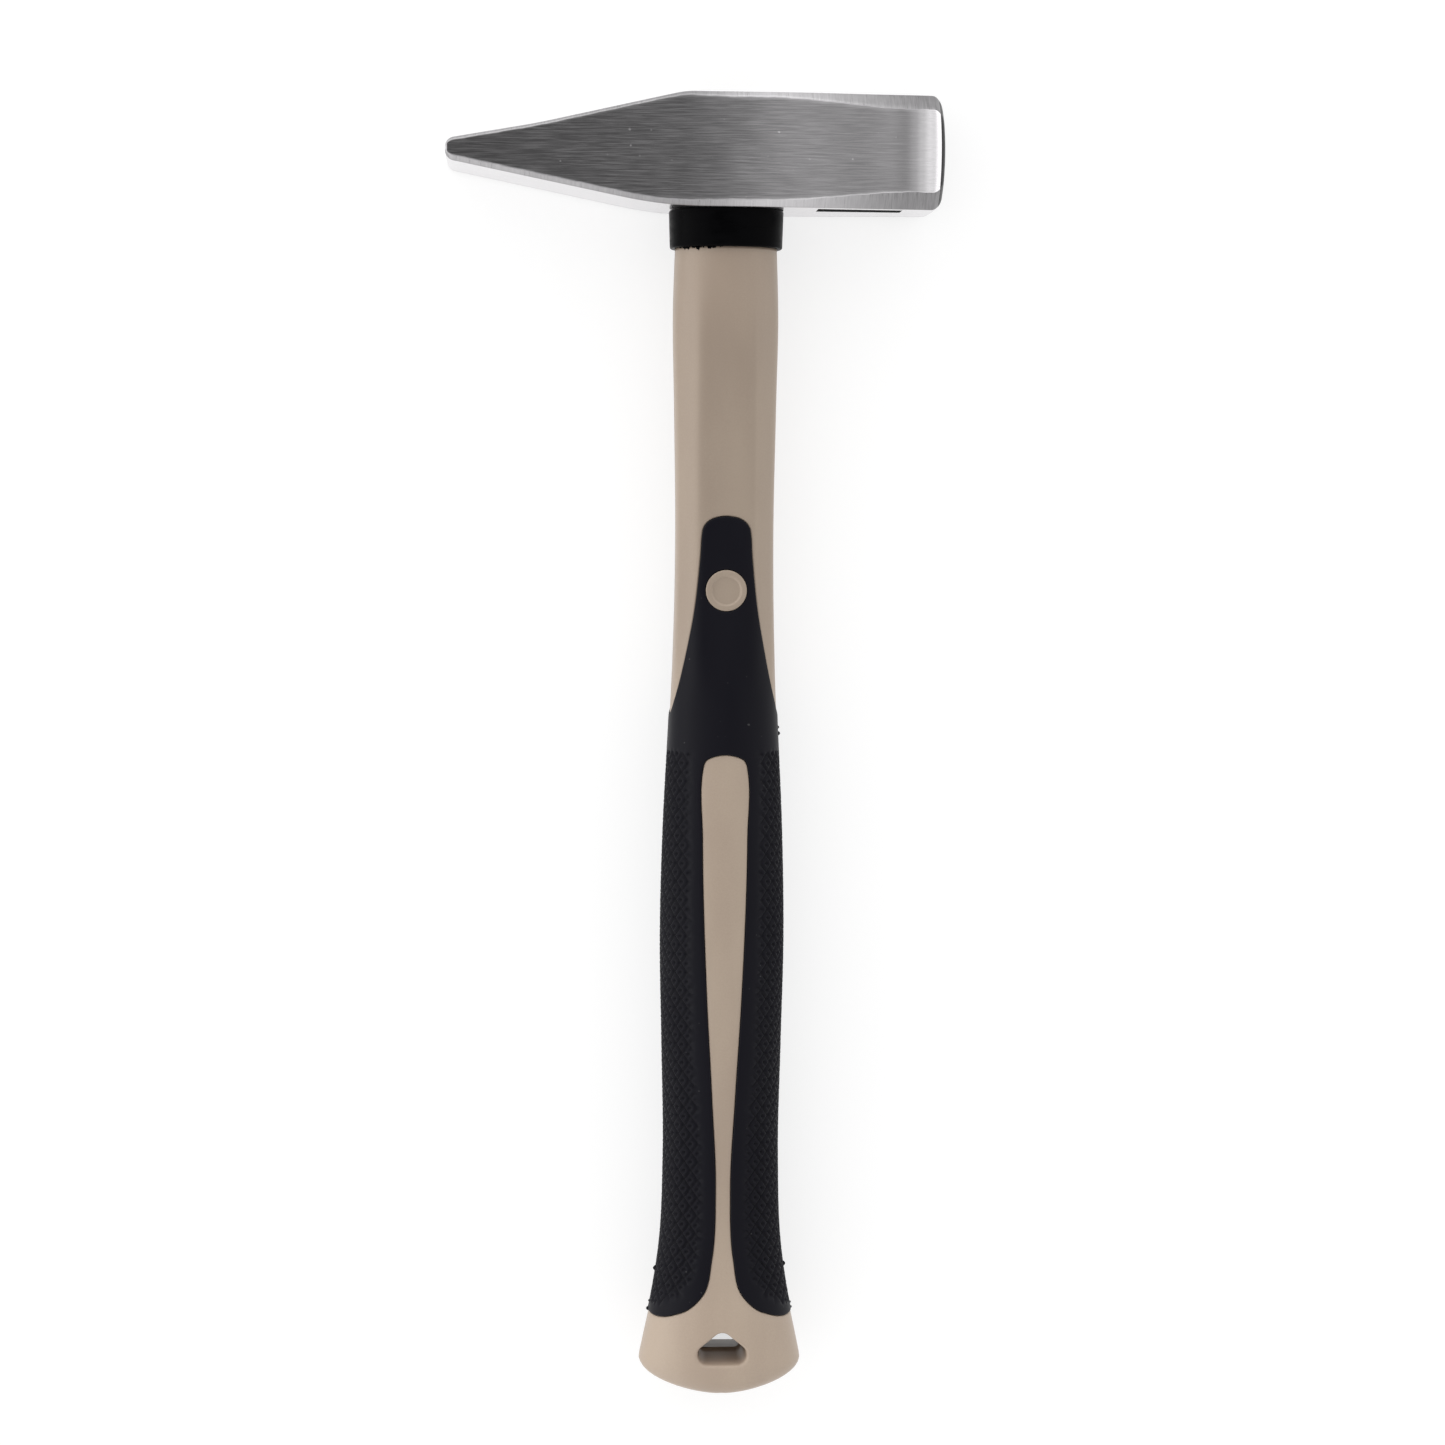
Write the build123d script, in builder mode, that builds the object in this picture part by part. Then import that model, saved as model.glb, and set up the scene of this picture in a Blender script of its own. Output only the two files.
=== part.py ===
from build123d import *

import os
from math import cos, pi, radians, sin, tan

# Cross peen hammer with a fibreglass handle, in millimetres.
# It lies on one cheek of its head: +Z is up, +X points to the striking face, and +Y runs along
# the handle towards the head. The origin is on the lower cheek, where the handle's axis crosses
# the head's mid-line. A "reach" is a distance down the handle from that mid-line.

# ---- driving dimensions ----
overall_length = 309.4  # top of the head to the end of the butt

# head
head_length = 118.0
head_thickness = 27.0  # cheek to cheek
head_height = 26.8  # along the handle
poll_length = 51.6  # handle's axis to the striking face
bevel_start = 17.0  # where the poll's bevels begin to widen
edge_bevel = 1.2  # bevel along the peen and past the eye
poll_bevel = 3.7  # the same bevel at the striking face
face_chamfer = 1.6
crown_radius = 150.0  # of the striking face
peen_drop = 0.7  # the peen's tip lies below the head's mid-line
peen_tip_height = 4.8
peen_tip_radius = 2.3
peen_root_top = 10.3  # handle's axis to the bend above the peen
peen_root_bottom = 15.2  # handle's axis to the bend below the peen
root_radius_top = 20.0
root_radius_bottom = 100.0
hollow_place = 45.0  # handle's axis to the hollow in the peen's upper slope
hollow_height = 5.5
hollow_radius = 150.0

# rod, and the resin round it in the eye
rod_width = 18.0  # along the head
rod_depth = 11.0  # from cheek to cheek
rod_cover = 33.0  # plastic between the rod's end and the end of the butt
rod_skin = 0.8  # least plastic between the rod and the soft grip
resin_gap = 2.0  # round the rod at the bottom of the eye
eye_flare = 1.0  # the eye is this much wider all round at the top
resin_recess = 0.6  # top of the head down to the resin and the rod

# collar, round a spigot at the top of the jacket
collar_length = 9.0
collar_wall = 2.4
collar_taper = 0.25  # narrower by this much on each side at the bottom
spigot_wall_across = 2.2  # plastic round the rod, along the head
spigot_wall_deep = 3.9  # the same from cheek to cheek

# handle sections, as width along the head and depth from cheek to cheek
roundness = 2.3  # exponent of the sections' outline, 2 is an ellipse
outline_points = 16
shoulder_width, shoulder_depth = 24.2, 20.6
swell_reach, swell_width, swell_depth = 36.0, 25.0, 20.4
neck_reach, neck_width, neck_depth = 60.0, 24.2, 20.0
waist_rise, waist_width, waist_depth = 205.0, 23.3, 19.6
tongue_root_rise, tongue_root_width, tongue_root_depth = 183.0, 23.9, 20.4
band_rise, band_width, band_depth = 162.0, 25.6, 22.0
grasp_rise, grasp_width, grasp_depth = 136.0, 28.1, 24.2
palm_rise, palm_width, palm_depth = 109.0, 29.2, 25.2
taper_rise, taper_width, taper_depth = 84.0, 28.2, 24.8
hollow_rise, hollow_width, hollow_depth = 56.0, 27.3, 24.0
flare_rise, flare_width, flare_depth = 34.0, 29.2, 24.4
heel_rise, heel_width, heel_depth = 20.0, 33.6, 25.6
hip_rise, hip_width, hip_depth = 13.0, 36.6, 26.4
butt_rise, butt_width = 7.3, 38.9
butt_squareness = 5.0  # exponent of the butt's end seen from the side, 2 is an ellipse
butt_last_angle = 80.0  # degrees round the end's quarter, where a small flat closes it
butt_steps = 6

# grip, with rises measured up the handle from the end of the butt
grip_proud = 0.3
grip_thickness = 2.1
tongue_rise = 210.3
tongue_half_width = 5.9
tongue_corner = 3.0
tongue_flank = [(6.5, 196.8), (8.3, 182.8), (10.8, 170.9), (13.4, 160.8)]
window_rise = 153.8
window_half_width = 5.35
window_corner = 2.2
window_flank = [(5.4, 134.0), (4.2, 96.0), (2.8, 71.5), (1.8, 50.0), (2.6, 33.0)]
lobe_curve = [(4.3, 24.9), (8.4, 20.9), (13.6, 18.7), (17.0, 18.4)]
zone_reach_out = 24.0  # the zone's outline runs outside the handle here

# boss on the tongue
boss_rise = 192.7
boss_diameter = 9.7
boss_proud = 0.35
boss_rim = 1.4
boss_dish = 0.4

# hang hole: two round bottom corners under one round crown
hole_floor_rise = 7.9
hole_width = 11.9
hole_height = 7.7
hole_corner_radius = 2.4
hole_crown_radius = 2.5
hole_draft = 3.9  # degrees, both faces towards the middle

# ---- places worked out from the driving dimensions ----
mid_level = head_thickness / 2
butt_depth = head_thickness  # so that the hammer lies level on its cheek
eye_width = rod_width + 2 * resin_gap
eye_depth = rod_depth + 2 * resin_gap
spigot_width = rod_width + 2 * spigot_wall_across
spigot_depth = rod_depth + 2 * spigot_wall_deep
collar_width = spigot_width + 2 * collar_wall
collar_depth = spigot_depth + 2 * collar_wall
half_height = head_height / 2
peen_reach = head_length - poll_length
butt_reach = overall_length - half_height
collar_reach = half_height + collar_length
far = 60.0  # larger than any half-width, for tools that cut right through
tongue_tip_half_width = tongue_half_width - tongue_corner


def down(rise):
    """Reach of a place that is measured up from the end of the butt."""
    return butt_reach - rise


def across(reach):
    """Sketch plane square to the handle; its X is the row's X and its Y is the row's Z."""
    return Plane(origin=(0, -reach, mid_level), x_dir=(1, 0, 0), z_dir=(0, -1, 0))


def oval(width, depth):
    """Points of a rounded oval, fuller than an ellipse."""
    points = []
    for step in range(outline_points):
        angle = 2 * pi * step / outline_points
        along, up = cos(angle), sin(angle)
        x = width / 2 * abs(along) ** (2 / roundness)
        y = depth / 2 * abs(up) ** (2 / roundness)
        points.append((x if along >= 0 else -x, y if up >= 0 else -y))
    return points


def oval_loft(sections):
    """Solid through (reach, width, depth) sections of the handle."""
    with BuildPart() as form:
        for reach, width, depth in sections:
            with BuildSketch(across(reach)):
                with BuildLine():
                    Spline(*oval(width, depth), periodic=True)
                make_face()
        loft()
    return form.part


handle_sections = [
    (collar_reach, shoulder_width, shoulder_depth),
    (swell_reach, swell_width, swell_depth),
    (neck_reach, neck_width, neck_depth),
    (down(waist_rise), waist_width, waist_depth),
    (down(tongue_root_rise), tongue_root_width, tongue_root_depth),
    (down(band_rise), band_width, band_depth),
    (down(grasp_rise), grasp_width, grasp_depth),
    (down(palm_rise), palm_width, palm_depth),
    (down(taper_rise), taper_width, taper_depth),
    (down(hollow_rise), hollow_width, hollow_depth),
    (down(flare_rise), flare_width, flare_depth),
    (down(heel_rise), heel_width, heel_depth),
    (down(hip_rise), hip_width, hip_depth),
    (down(butt_rise), butt_width, butt_depth),
]


def handle_form(grow):
    """The handle's outer form, with every section grown by the same amount all round."""
    grown = [(reach, width + 2 * grow, depth + 2 * grow) for reach, width, depth in handle_sections]
    return oval_loft(grown)


def butt_end_form():
    """The rounded end below the widest section: half an ellipse from the front, squarer from the side."""
    sections = []
    for step in range(butt_steps + 1):
        angle = radians(butt_last_angle) * step / butt_steps
        reach = down(butt_rise) + butt_rise * sin(angle) / sin(radians(butt_last_angle))
        depth = butt_depth * (1 - sin(angle) ** butt_squareness) ** (1 / butt_squareness)
        sections.append((reach, butt_width * cos(angle), depth))
    return oval_loft(sections)


def rod_form(top_reach, end_reach, skin=0):
    """Stretch of the rod, or of the pocket that it fills, or of either with a skin round it."""
    with BuildPart() as form:
        with BuildSketch(across(top_reach)):
            SlotOverall(rod_width + 2 * skin, rod_depth + 2 * skin)
        extrude(amount=end_reach - top_reach)
    return form.part


def eye_form():
    """The eye's inside, wider at the top of the head than at the bottom."""
    with BuildPart() as form:
        with BuildSketch(across(half_height)):
            Ellipse(eye_width / 2, eye_depth / 2)
        with BuildSketch(across(-half_height)):
            Ellipse(eye_width / 2 + eye_flare, eye_depth / 2 + eye_flare)
        loft()
    return form.part


def spigot_form():
    """The jacket's narrow top, which the collar fits round."""
    with BuildPart() as form:
        with BuildSketch(across(half_height)):
            with BuildLine():
                Spline(*oval(spigot_width, spigot_depth), periodic=True)
            make_face()
        extrude(amount=collar_length)
    return form.part


def grip_zone():
    """Where the soft grip lies, seen on the face of the handle and cut right through its depth."""
    with BuildPart() as form:
        with BuildSketch(Plane.XY.offset(mid_level)):
            with BuildLine():
                tongue_top = -down(tongue_rise)
                tongue_side = (tongue_half_width, tongue_top - tongue_corner)
                window_top = -down(window_rise)
                window_side = (window_half_width, window_top - window_corner)
                Line((0, tongue_top), (tongue_tip_half_width, tongue_top))
                RadiusArc((tongue_tip_half_width, tongue_top), tongue_side, tongue_corner)
                flank = Spline(tongue_side, *[(x, -down(rise)) for x, rise in tongue_flank])
                band_edge = Line(flank @ 1, (zone_reach_out, -down(band_rise)))
                lobe_end = (zone_reach_out, -down(lobe_curve[-1][1]))
                Line(band_edge @ 1, lobe_end)
                Line(lobe_end, (lobe_curve[-1][0], lobe_end[1]))
                inner = [*reversed(lobe_curve), *reversed(window_flank)]
                Spline(*[(x, -down(rise)) for x, rise in inner], window_side)
                RadiusArc(window_side, (window_half_width - window_corner, window_top), -window_corner)
                Line((window_half_width - window_corner, window_top), (0, window_top))
                mirror(about=Plane.YZ)
            make_face()
        extrude(amount=far, both=True)
    return form.part


# ---- hammer head ----
top_slope_root = (-peen_root_top, half_height)
bottom_slope_root = (-peen_root_bottom, -half_height)
hollow_point = (-hollow_place, hollow_height)
tip_top = (-peen_reach, peen_tip_height / 2 - peen_drop)
tip_bottom = (-peen_reach, -peen_tip_height / 2 - peen_drop)

with BuildPart() as hammer_head:
    with BuildSketch() as side_view:
        with BuildLine():
            Polyline(
                (bevel_start, -half_height),
                (bevel_start, half_height),
                top_slope_root,
                hollow_point,
                tip_top,
                tip_bottom,
                bottom_slope_root,
                close=True,
            )
        make_face()
        for corner, radius in (
            (top_slope_root, root_radius_top),
            (bottom_slope_root, root_radius_bottom),
            (hollow_point, hollow_radius),
            (tip_top, peen_tip_radius),
            (tip_bottom, peen_tip_radius),
        ):
            fillet(side_view.vertices().sort_by_distance(Vector(*corner, 0))[0], radius)
    extrude(amount=head_thickness)
    cheeks = faces().filter_by(Axis.Z)
    chamfer(cheeks.edges().filter_by(lambda edge: edge.center().X < bevel_start - 1e-3), edge_bevel)
    for place, inset, bevel in (
        (bevel_start, 0, edge_bevel),
        (poll_length - face_chamfer, 0, poll_bevel),
        (poll_length, face_chamfer, poll_bevel),
    ):
        with BuildSketch(Plane.YZ.offset(place)) as poll_section:
            with Locations((0, mid_level)):
                Rectangle(head_height - 2 * inset, head_thickness - 2 * inset)
            chamfer(poll_section.vertices(), bevel)
    loft(ruled=True)
    with Locations((poll_length - crown_radius, 0, mid_level)):
        Sphere(crown_radius, mode=Mode.INTERSECT)
    add(eye_form(), mode=Mode.SUBTRACT)

# ---- fibreglass core ----
core_top = resin_recess - half_height
core_end = down(rod_cover)
with BuildPart() as fibreglass_core:
    add(rod_form(core_top, core_end))

# ---- resin in the eye ----
with BuildPart() as eye_resin:
    add(eye_form())
    with BuildSketch(across(-half_height)):
        Rectangle(far, far)
    extrude(amount=resin_recess, mode=Mode.SUBTRACT)
    add(rod_form(core_top, half_height), mode=Mode.SUBTRACT)

# ---- collar ----
collar_sections = [
    (half_height, collar_width, collar_depth),
    (collar_reach, collar_width - 2 * collar_taper, collar_depth - 2 * collar_taper),
]
with BuildPart() as neck_collar:
    add(oval_loft(collar_sections))
    add(spigot_form(), mode=Mode.SUBTRACT)

# ---- boss ----
boss_place = (0, -down(boss_rise))
boss_level = waist_depth / 2 + grip_proud + boss_proud


def boss_form(diameter, bottom, top):
    """Round pad on both faces of the handle, between two distances from its mid-plane."""
    with BuildPart() as form:
        for side in (1, -1):
            with BuildSketch(Plane.XY.offset(mid_level + side * bottom)):
                with Locations(boss_place):
                    Circle(diameter / 2)
            extrude(amount=side * (top - bottom))
    return form.part


# ---- hang hole: narrowest at the mid-plane, where the two halves of the mould met ----
hole_pinch = butt_depth / 2 * tan(radians(hole_draft))
hole_floor = hole_floor_rise - butt_reach
corner_offset = hole_width / 2 - hole_corner_radius


def hang_hole_form():
    """Tool for the hang hole, through both faces."""
    with BuildPart() as form:
        for side in (1, -1):
            with BuildSketch(Plane.XY.offset(mid_level)):
                with Locations(
                    (corner_offset, hole_floor + hole_corner_radius),
                    (-corner_offset, hole_floor + hole_corner_radius),
                ):
                    Circle(hole_corner_radius - hole_pinch)
                with Locations((0, hole_floor + hole_height - hole_crown_radius)):
                    Circle(hole_crown_radius - hole_pinch)
                make_hull()
            extrude(amount=side * (butt_depth / 2 + 1), taper=-hole_draft)
    return form.part


# ---- handle body ----
with BuildPart() as grip_pocket:
    add(grip_zone())
    add(handle_form(grip_proud - grip_thickness), mode=Mode.SUBTRACT)
    add(rod_form(half_height, core_end, rod_skin), mode=Mode.SUBTRACT)

with BuildPart() as handle_body:
    add(handle_form(0))
    add(butt_end_form())
    add(grip_pocket.part, mode=Mode.SUBTRACT)
    add(boss_form(boss_diameter, rod_depth / 2, boss_level))
    add(boss_form(boss_diameter - 2 * boss_rim, boss_level - boss_dish, boss_level), mode=Mode.SUBTRACT)
    add(spigot_form())
    add(rod_form(half_height, core_end), mode=Mode.SUBTRACT)
    add(hang_hole_form(), mode=Mode.SUBTRACT)

# ---- soft grip ----
with BuildPart() as rubber_grip:
    add(handle_form(grip_proud))
    add(grip_zone(), mode=Mode.INTERSECT)
    add(handle_form(grip_proud - grip_thickness), mode=Mode.SUBTRACT)
    add(rod_form(half_height, core_end, rod_skin), mode=Mode.SUBTRACT)
    add(boss_form(boss_diameter, rod_depth / 2, far), mode=Mode.SUBTRACT)

# ---- write one STEP file for each piece ----
os.makedirs("parts", exist_ok=True)
pieces = {
    "hammer_head": hammer_head,
    "fibreglass_core": fibreglass_core,
    "eye_resin": eye_resin,
    "neck_collar": neck_collar,
    "handle_body": handle_body,
    "rubber_grip": rubber_grip,
}
for name, piece in pieces.items():
    piece.part.label = name
    export_step(piece.part, f"parts/{name}.step")
    print(name, round(piece.part.volume), "mm3")
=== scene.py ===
# %% [markdown]
# # Dressing a cross peen hammer
#
# The hammer has a ground steel head, a black collar, a pale plastic jacket moulded over a
# fibreglass rod, and a soft black grip moulded into the jacket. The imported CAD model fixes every
# size. This lesson builds the surfaces that a hand and an eye meet: ground steel, the facets of
# the neck, the rounded lips between the two plastics, and the diamond knurl of the grip.

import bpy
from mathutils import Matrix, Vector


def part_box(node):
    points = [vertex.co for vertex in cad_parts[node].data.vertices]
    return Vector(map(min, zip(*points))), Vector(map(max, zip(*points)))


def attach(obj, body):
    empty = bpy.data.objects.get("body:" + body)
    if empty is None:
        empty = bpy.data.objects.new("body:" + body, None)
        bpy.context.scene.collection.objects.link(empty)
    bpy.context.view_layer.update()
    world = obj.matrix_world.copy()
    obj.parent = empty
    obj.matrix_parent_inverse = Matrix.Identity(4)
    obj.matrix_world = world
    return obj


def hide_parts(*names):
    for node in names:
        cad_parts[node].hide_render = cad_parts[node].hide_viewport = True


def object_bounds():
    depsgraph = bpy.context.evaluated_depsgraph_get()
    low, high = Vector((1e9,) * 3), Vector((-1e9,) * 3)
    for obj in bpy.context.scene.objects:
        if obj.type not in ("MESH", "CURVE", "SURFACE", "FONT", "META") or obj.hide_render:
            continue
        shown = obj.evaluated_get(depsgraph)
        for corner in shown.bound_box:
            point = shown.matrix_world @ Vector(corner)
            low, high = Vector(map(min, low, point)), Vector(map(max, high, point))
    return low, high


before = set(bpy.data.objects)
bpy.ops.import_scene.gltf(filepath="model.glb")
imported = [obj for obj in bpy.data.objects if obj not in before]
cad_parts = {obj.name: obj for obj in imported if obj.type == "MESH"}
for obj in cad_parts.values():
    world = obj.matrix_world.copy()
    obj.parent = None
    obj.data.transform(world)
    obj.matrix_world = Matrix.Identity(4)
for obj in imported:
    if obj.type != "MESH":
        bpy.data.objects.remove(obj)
cad_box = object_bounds()
print("CAD nodes:", sorted(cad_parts))

# %% Tools, and the sizes that the frame gives
from math import cos, hypot, pi, radians, sin, tan

import bmesh
import bpy
import numpy as np
from mathutils import Matrix, Vector
from mathutils.geometry import delaunay_2d_cdt

MM = 0.001


def millimetres(node):
    """Lowest and highest corner of a CAD node, in millimetres."""
    low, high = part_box(node)
    return np.array(low) / MM, np.array(high) / MM


head_low, head_high = millimetres("hammer_head")
body_low, body_high = millimetres("handle_body")
collar_low, collar_high = millimetres("neck_collar")
middle = (head_low[2] + head_high[2]) / 2
half_thickness = (head_high[2] - head_low[2]) / 2
butt_reach = -body_low[1]
print("head", head_high - head_low, "butt reach", butt_reach)

# %% [markdown]
# ## The view
#
# A long lens high above the hammer, a little up the handle and to the left, shows the cheek of
# the head square on and still lets the left flank of the handle show. The three small angles
# turn the camera until the middle of the handle is in the middle of the view.

# %% Camera
camera_place = (-0.0484, -0.0870, 0.8147)
turn_sideways, turn_forward, turn_level = -0.0602, -0.0599, 0.0063
camera_data = bpy.data.cameras.new("long_lens")
camera_data.sensor_width = 36.0
camera_data.lens = 83.49
camera_data.clip_start, camera_data.clip_end = 0.01, 20.0
camera = bpy.data.objects.new("long_lens", camera_data)
camera.matrix_world = (
    Matrix.Translation(camera_place)
    @ Matrix.Rotation(turn_sideways, 4, "Y")
    @ Matrix.Rotation(turn_forward, 4, "X")
    @ Matrix.Rotation(turn_level, 4, "Z")
)
bpy.context.scene.collection.objects.link(camera)
bpy.context.scene.camera = camera
bpy.context.scene.view_settings.view_transform = "Standard"
print("camera:", camera_data.lens, "mm lens at", camera_place)

# %% [markdown]
# ## Node trees in a few words
#
# Every finish below is a small tree of shader nodes. One helper adds a node, fills its inputs
# with numbers or links, and sets its options, so that a recipe reads from top to bottom.


# %% Helpers for node trees
def add(tree, kind, inputs=None, **options):
    """A new node. An input given a socket is linked, and one given a value is set."""
    made = tree.nodes.new(kind)
    for name, value in options.items():
        setattr(made, name, value)
    for name, value in (inputs or {}).items():
        if isinstance(value, bpy.types.NodeSocket):
            tree.links.new(value, made.inputs[name])
        else:
            made.inputs[name].default_value = value
    return made


def math(tree, operation, first, second=0.0):
    """The outcome of one sum, product or function of numbers."""
    return add(tree, "ShaderNodeMath", {0: first, 1: second}, operation=operation).outputs[0]


def ranged(tree, value, low, high, to_low, to_high):
    """value from low..high carried smoothly to to_low..to_high."""
    inputs = {"Value": value, "From Min": low, "From Max": high, "To Min": to_low, "To Max": to_high}
    return add(tree, "ShaderNodeMapRange", inputs, interpolation_type="SMOOTHSTEP").outputs[0]


def mixed(tree, share, first, second):
    """A colour between first and second."""
    made = add(tree, "ShaderNodeMix", data_type="RGBA")
    for index, value in ((0, share), (6, first), (7, second)):
        if isinstance(value, bpy.types.NodeSocket):
            tree.links.new(value, made.inputs[index])
        else:
            made.inputs[index].default_value = value
    return made.outputs[2]


# %% [markdown]
# ## Light and floor
#
# The light of a tent: a bright ring round the horizon, stronger on the left and behind the head,
# and a small dull patch overhead. Lamps could make it too, but they would show as bright spots
# in the steel and throw hard shadows, so it is all in the world. The patch is a little off the
# vertical, towards the peen. Steel that faces straight up mirrors it, darkest at the peen and
# lighter towards the face, and whatever leans mirrors the bright ring. The steel's colour adds a
# painted reflection that follows the same change along the head. The camera itself sees plain
# white there, and it sees the floor near white, as mirrors do.

# %% World
overhead_light, cloth_light, ring_light = 0.08, 0.95, 1.95
patch_axis = (-0.09, 0.10, 0.99)
left_bias, far_bias = 0.33, 0.25
world = bpy.data.worlds.new("light_tent")
bpy.context.scene.world = world
world.use_nodes = True
sky = world.node_tree
sky.nodes.clear()
direction = add(sky, "ShaderNodeTexCoord").outputs["Generated"]
aim = add(sky, "ShaderNodeSeparateXYZ", {0: direction})
from_axis = add(sky, "ShaderNodeVectorMath", {0: direction, 1: patch_axis}, operation="DOT_PRODUCT")
angle = math(sky, "ARCCOSINE", from_axis.outputs["Value"])
patch_edge = ranged(sky, angle, radians(4), radians(22), overhead_light, cloth_light)
toward_ring = ranged(sky, angle, radians(22), radians(80), 0.0, ring_light - cloth_light)
level = math(sky, "ADD", patch_edge, toward_ring)
sideways = math(sky, "MULTIPLY", aim.outputs["X"], -left_bias)
lengthways = math(sky, "MULTIPLY", aim.outputs["Y"], far_bias)
bias = math(sky, "ADD", math(sky, "ADD", sideways, lengthways), 1.0)
soft_light = add(sky, "ShaderNodeBackground", {"Strength": math(sky, "MULTIPLY", level, bias)})
white = add(sky, "ShaderNodeBackground", {"Color": (1, 1, 1, 1), "Strength": 1.0})
seen = add(sky, "ShaderNodeLightPath").outputs["Is Camera Ray"]
shown = add(sky, "ShaderNodeMixShader", {0: seen, 1: soft_light.outputs[0], 2: white.outputs[0]})
add(sky, "ShaderNodeOutputWorld", {"Surface": shown.outputs[0]})
print("tent light:", overhead_light, "overhead,", cloth_light, "beside it,", ring_light, "at the horizon")


# %% Floor
def floor_finish():
    """Pale card. Seen directly or in a mirror it is near white, and still takes a soft shadow."""
    made = bpy.data.materials.new("pale_card")
    made.use_nodes = True
    tree = made.node_tree
    tree.nodes.clear()
    plain = add(tree, "ShaderNodeBsdfDiffuse", {"Color": (0.8, 0.8, 0.8, 1)})
    half = add(tree, "ShaderNodeBsdfDiffuse", {"Color": (0.35, 0.35, 0.35, 1)})
    glow = add(tree, "ShaderNodeEmission", {"Strength": 0.70})
    bright = add(tree, "ShaderNodeAddShader", {0: half.outputs[0], 1: glow.outputs[0]})
    path = add(tree, "ShaderNodeLightPath").outputs
    seen = math(tree, "MAXIMUM", path["Is Camera Ray"], path["Is Glossy Ray"])
    seen = math(tree, "MAXIMUM", seen, path["Is Transmission Ray"])
    both = add(tree, "ShaderNodeMixShader", {0: seen, 1: plain.outputs[0], 2: bright.outputs[0]})
    add(tree, "ShaderNodeOutputMaterial", {"Surface": both.outputs[0]})
    return made


floor_half = 3.0
floor_level = cad_box[0].z
floor_mesh = bpy.data.meshes.new("floor")
corner_signs = ((-1, -1), (1, -1), (1, 1), (-1, 1))
floor_corners = [(x * floor_half, y * floor_half, floor_level) for x, y in corner_signs]
floor_mesh.from_pydata(floor_corners, [], [(0, 1, 2, 3)])
floor = bpy.data.objects.new("floor", floor_mesh)
floor_mesh.materials.append(floor_finish())
bpy.context.scene.collection.objects.link(floor)
print("floor:", 2 * floor_half, "m wide at", round(floor_level, 5), "m")


# %% [markdown]
# ## Meshes from points
#
# The pieces are worked out in millimetres as arrays of points and faces. One helper turns them
# into a Blender object, welds the points that meet, and shades it smooth.


# %% Helper that makes a piece
def piece(name, points, faces, materials, indices=None, weld=0.002):
    """A Blender object from points in millimetres. indices says which material each face has."""
    mesh = bpy.data.meshes.new(name)
    mesh.from_pydata((np.asarray(points) * MM).tolist(), [], [list(map(int, face)) for face in faces])
    for finish in materials:
        mesh.materials.append(finish)
    if indices is not None:
        mesh.polygons.foreach_set("material_index", np.asarray(indices, np.int32))
    made = bpy.data.objects.new(name, mesh)
    bpy.context.scene.collection.objects.link(made)
    tidy(made, weld)
    return made


def tidy(made, weld):
    """Welds points that meet, drops the faces that this flattens, and turns all faces outward."""
    edit = bmesh.new()
    edit.from_mesh(made.data)
    if weld:
        bmesh.ops.remove_doubles(edit, verts=edit.verts, dist=weld * MM)
        bmesh.ops.dissolve_degenerate(edit, edges=edit.edges, dist=weld * MM / 4)
    bmesh.ops.recalc_face_normals(edit, faces=edit.faces)
    loose = [edge for edge in edit.edges if len(edge.link_faces) != 2]
    edit.to_mesh(made.data)
    edit.free()
    made.data.polygons.foreach_set("use_smooth", [True] * len(made.data.polygons))
    made.data.update()
    points, faces = len(made.data.vertices), len(made.data.polygons)
    print(made.name, points, "points", faces, "faces", len(loose), "open edges")


# %% Helpers that cut a piece and join rows of points
def cut(made, cutter):
    """Takes the cutter's form out of a piece, and throws the cutter away."""
    step = made.modifiers.new("cut", "BOOLEAN")
    step.operation, step.solver, step.object = "DIFFERENCE", "MANIFOLD", cutter
    bpy.context.view_layer.update()
    result = bpy.data.meshes.new_from_object(made.evaluated_get(bpy.context.evaluated_depsgraph_get()))
    made.modifiers.clear()
    made.data = result
    bpy.data.objects.remove(cutter)
    print(made.name, "after the cut:", len(result.polygons), "faces")


def grid_faces(rows, columns, closed=True):
    """Quads between rows of points, where each row closes on itself or stays open."""
    found = []
    for row in range(0, (rows - 1) * columns, columns):
        for j in range(columns if closed else columns - 1):
            after = (j + 1) % columns
            found.append((row + j, row + after, row + columns + after, row + columns + j))
    return found


# %% [markdown]
# ## Ground steel
#
# The cheeks are ground along the head, so their scratches run along X. The bevels are ground
# across, so theirs run around the head. Stretched noise makes both: very long along the scratch
# and a tenth of a millimetre across it. It drives the bump, and a little of the colour and the
# roughness. The coordinates are the hammer's own, so the scratches stay on the steel.


# %% Helpers for finishes
def metres_noise(tree, per_metre, detail=2.0, rough=0.5, offset=(0.0, 0.0, 0.0)):
    """Noise with that many blotches in a metre along X, Y and Z."""
    place = add(tree, "ShaderNodeTexCoord").outputs["Object"]
    inputs = {"Vector": place, "Scale": per_metre, "Location": offset}
    stretched = add(tree, "ShaderNodeMapping", inputs).outputs[0]
    settings = {"Vector": stretched, "Scale": 1.0, "Detail": detail, "Roughness": rough}
    return add(tree, "ShaderNodeTexNoise", settings).outputs[0]


def bump(tree, height, depth, under=None):
    """Raises the surface by depth metres where height is 1."""
    inputs = {"Height": height, "Distance": depth, "Strength": 1.0}
    if under is not None:
        inputs["Normal"] = under
    return add(tree, "ShaderNodeBump", inputs).outputs[0]


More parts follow.
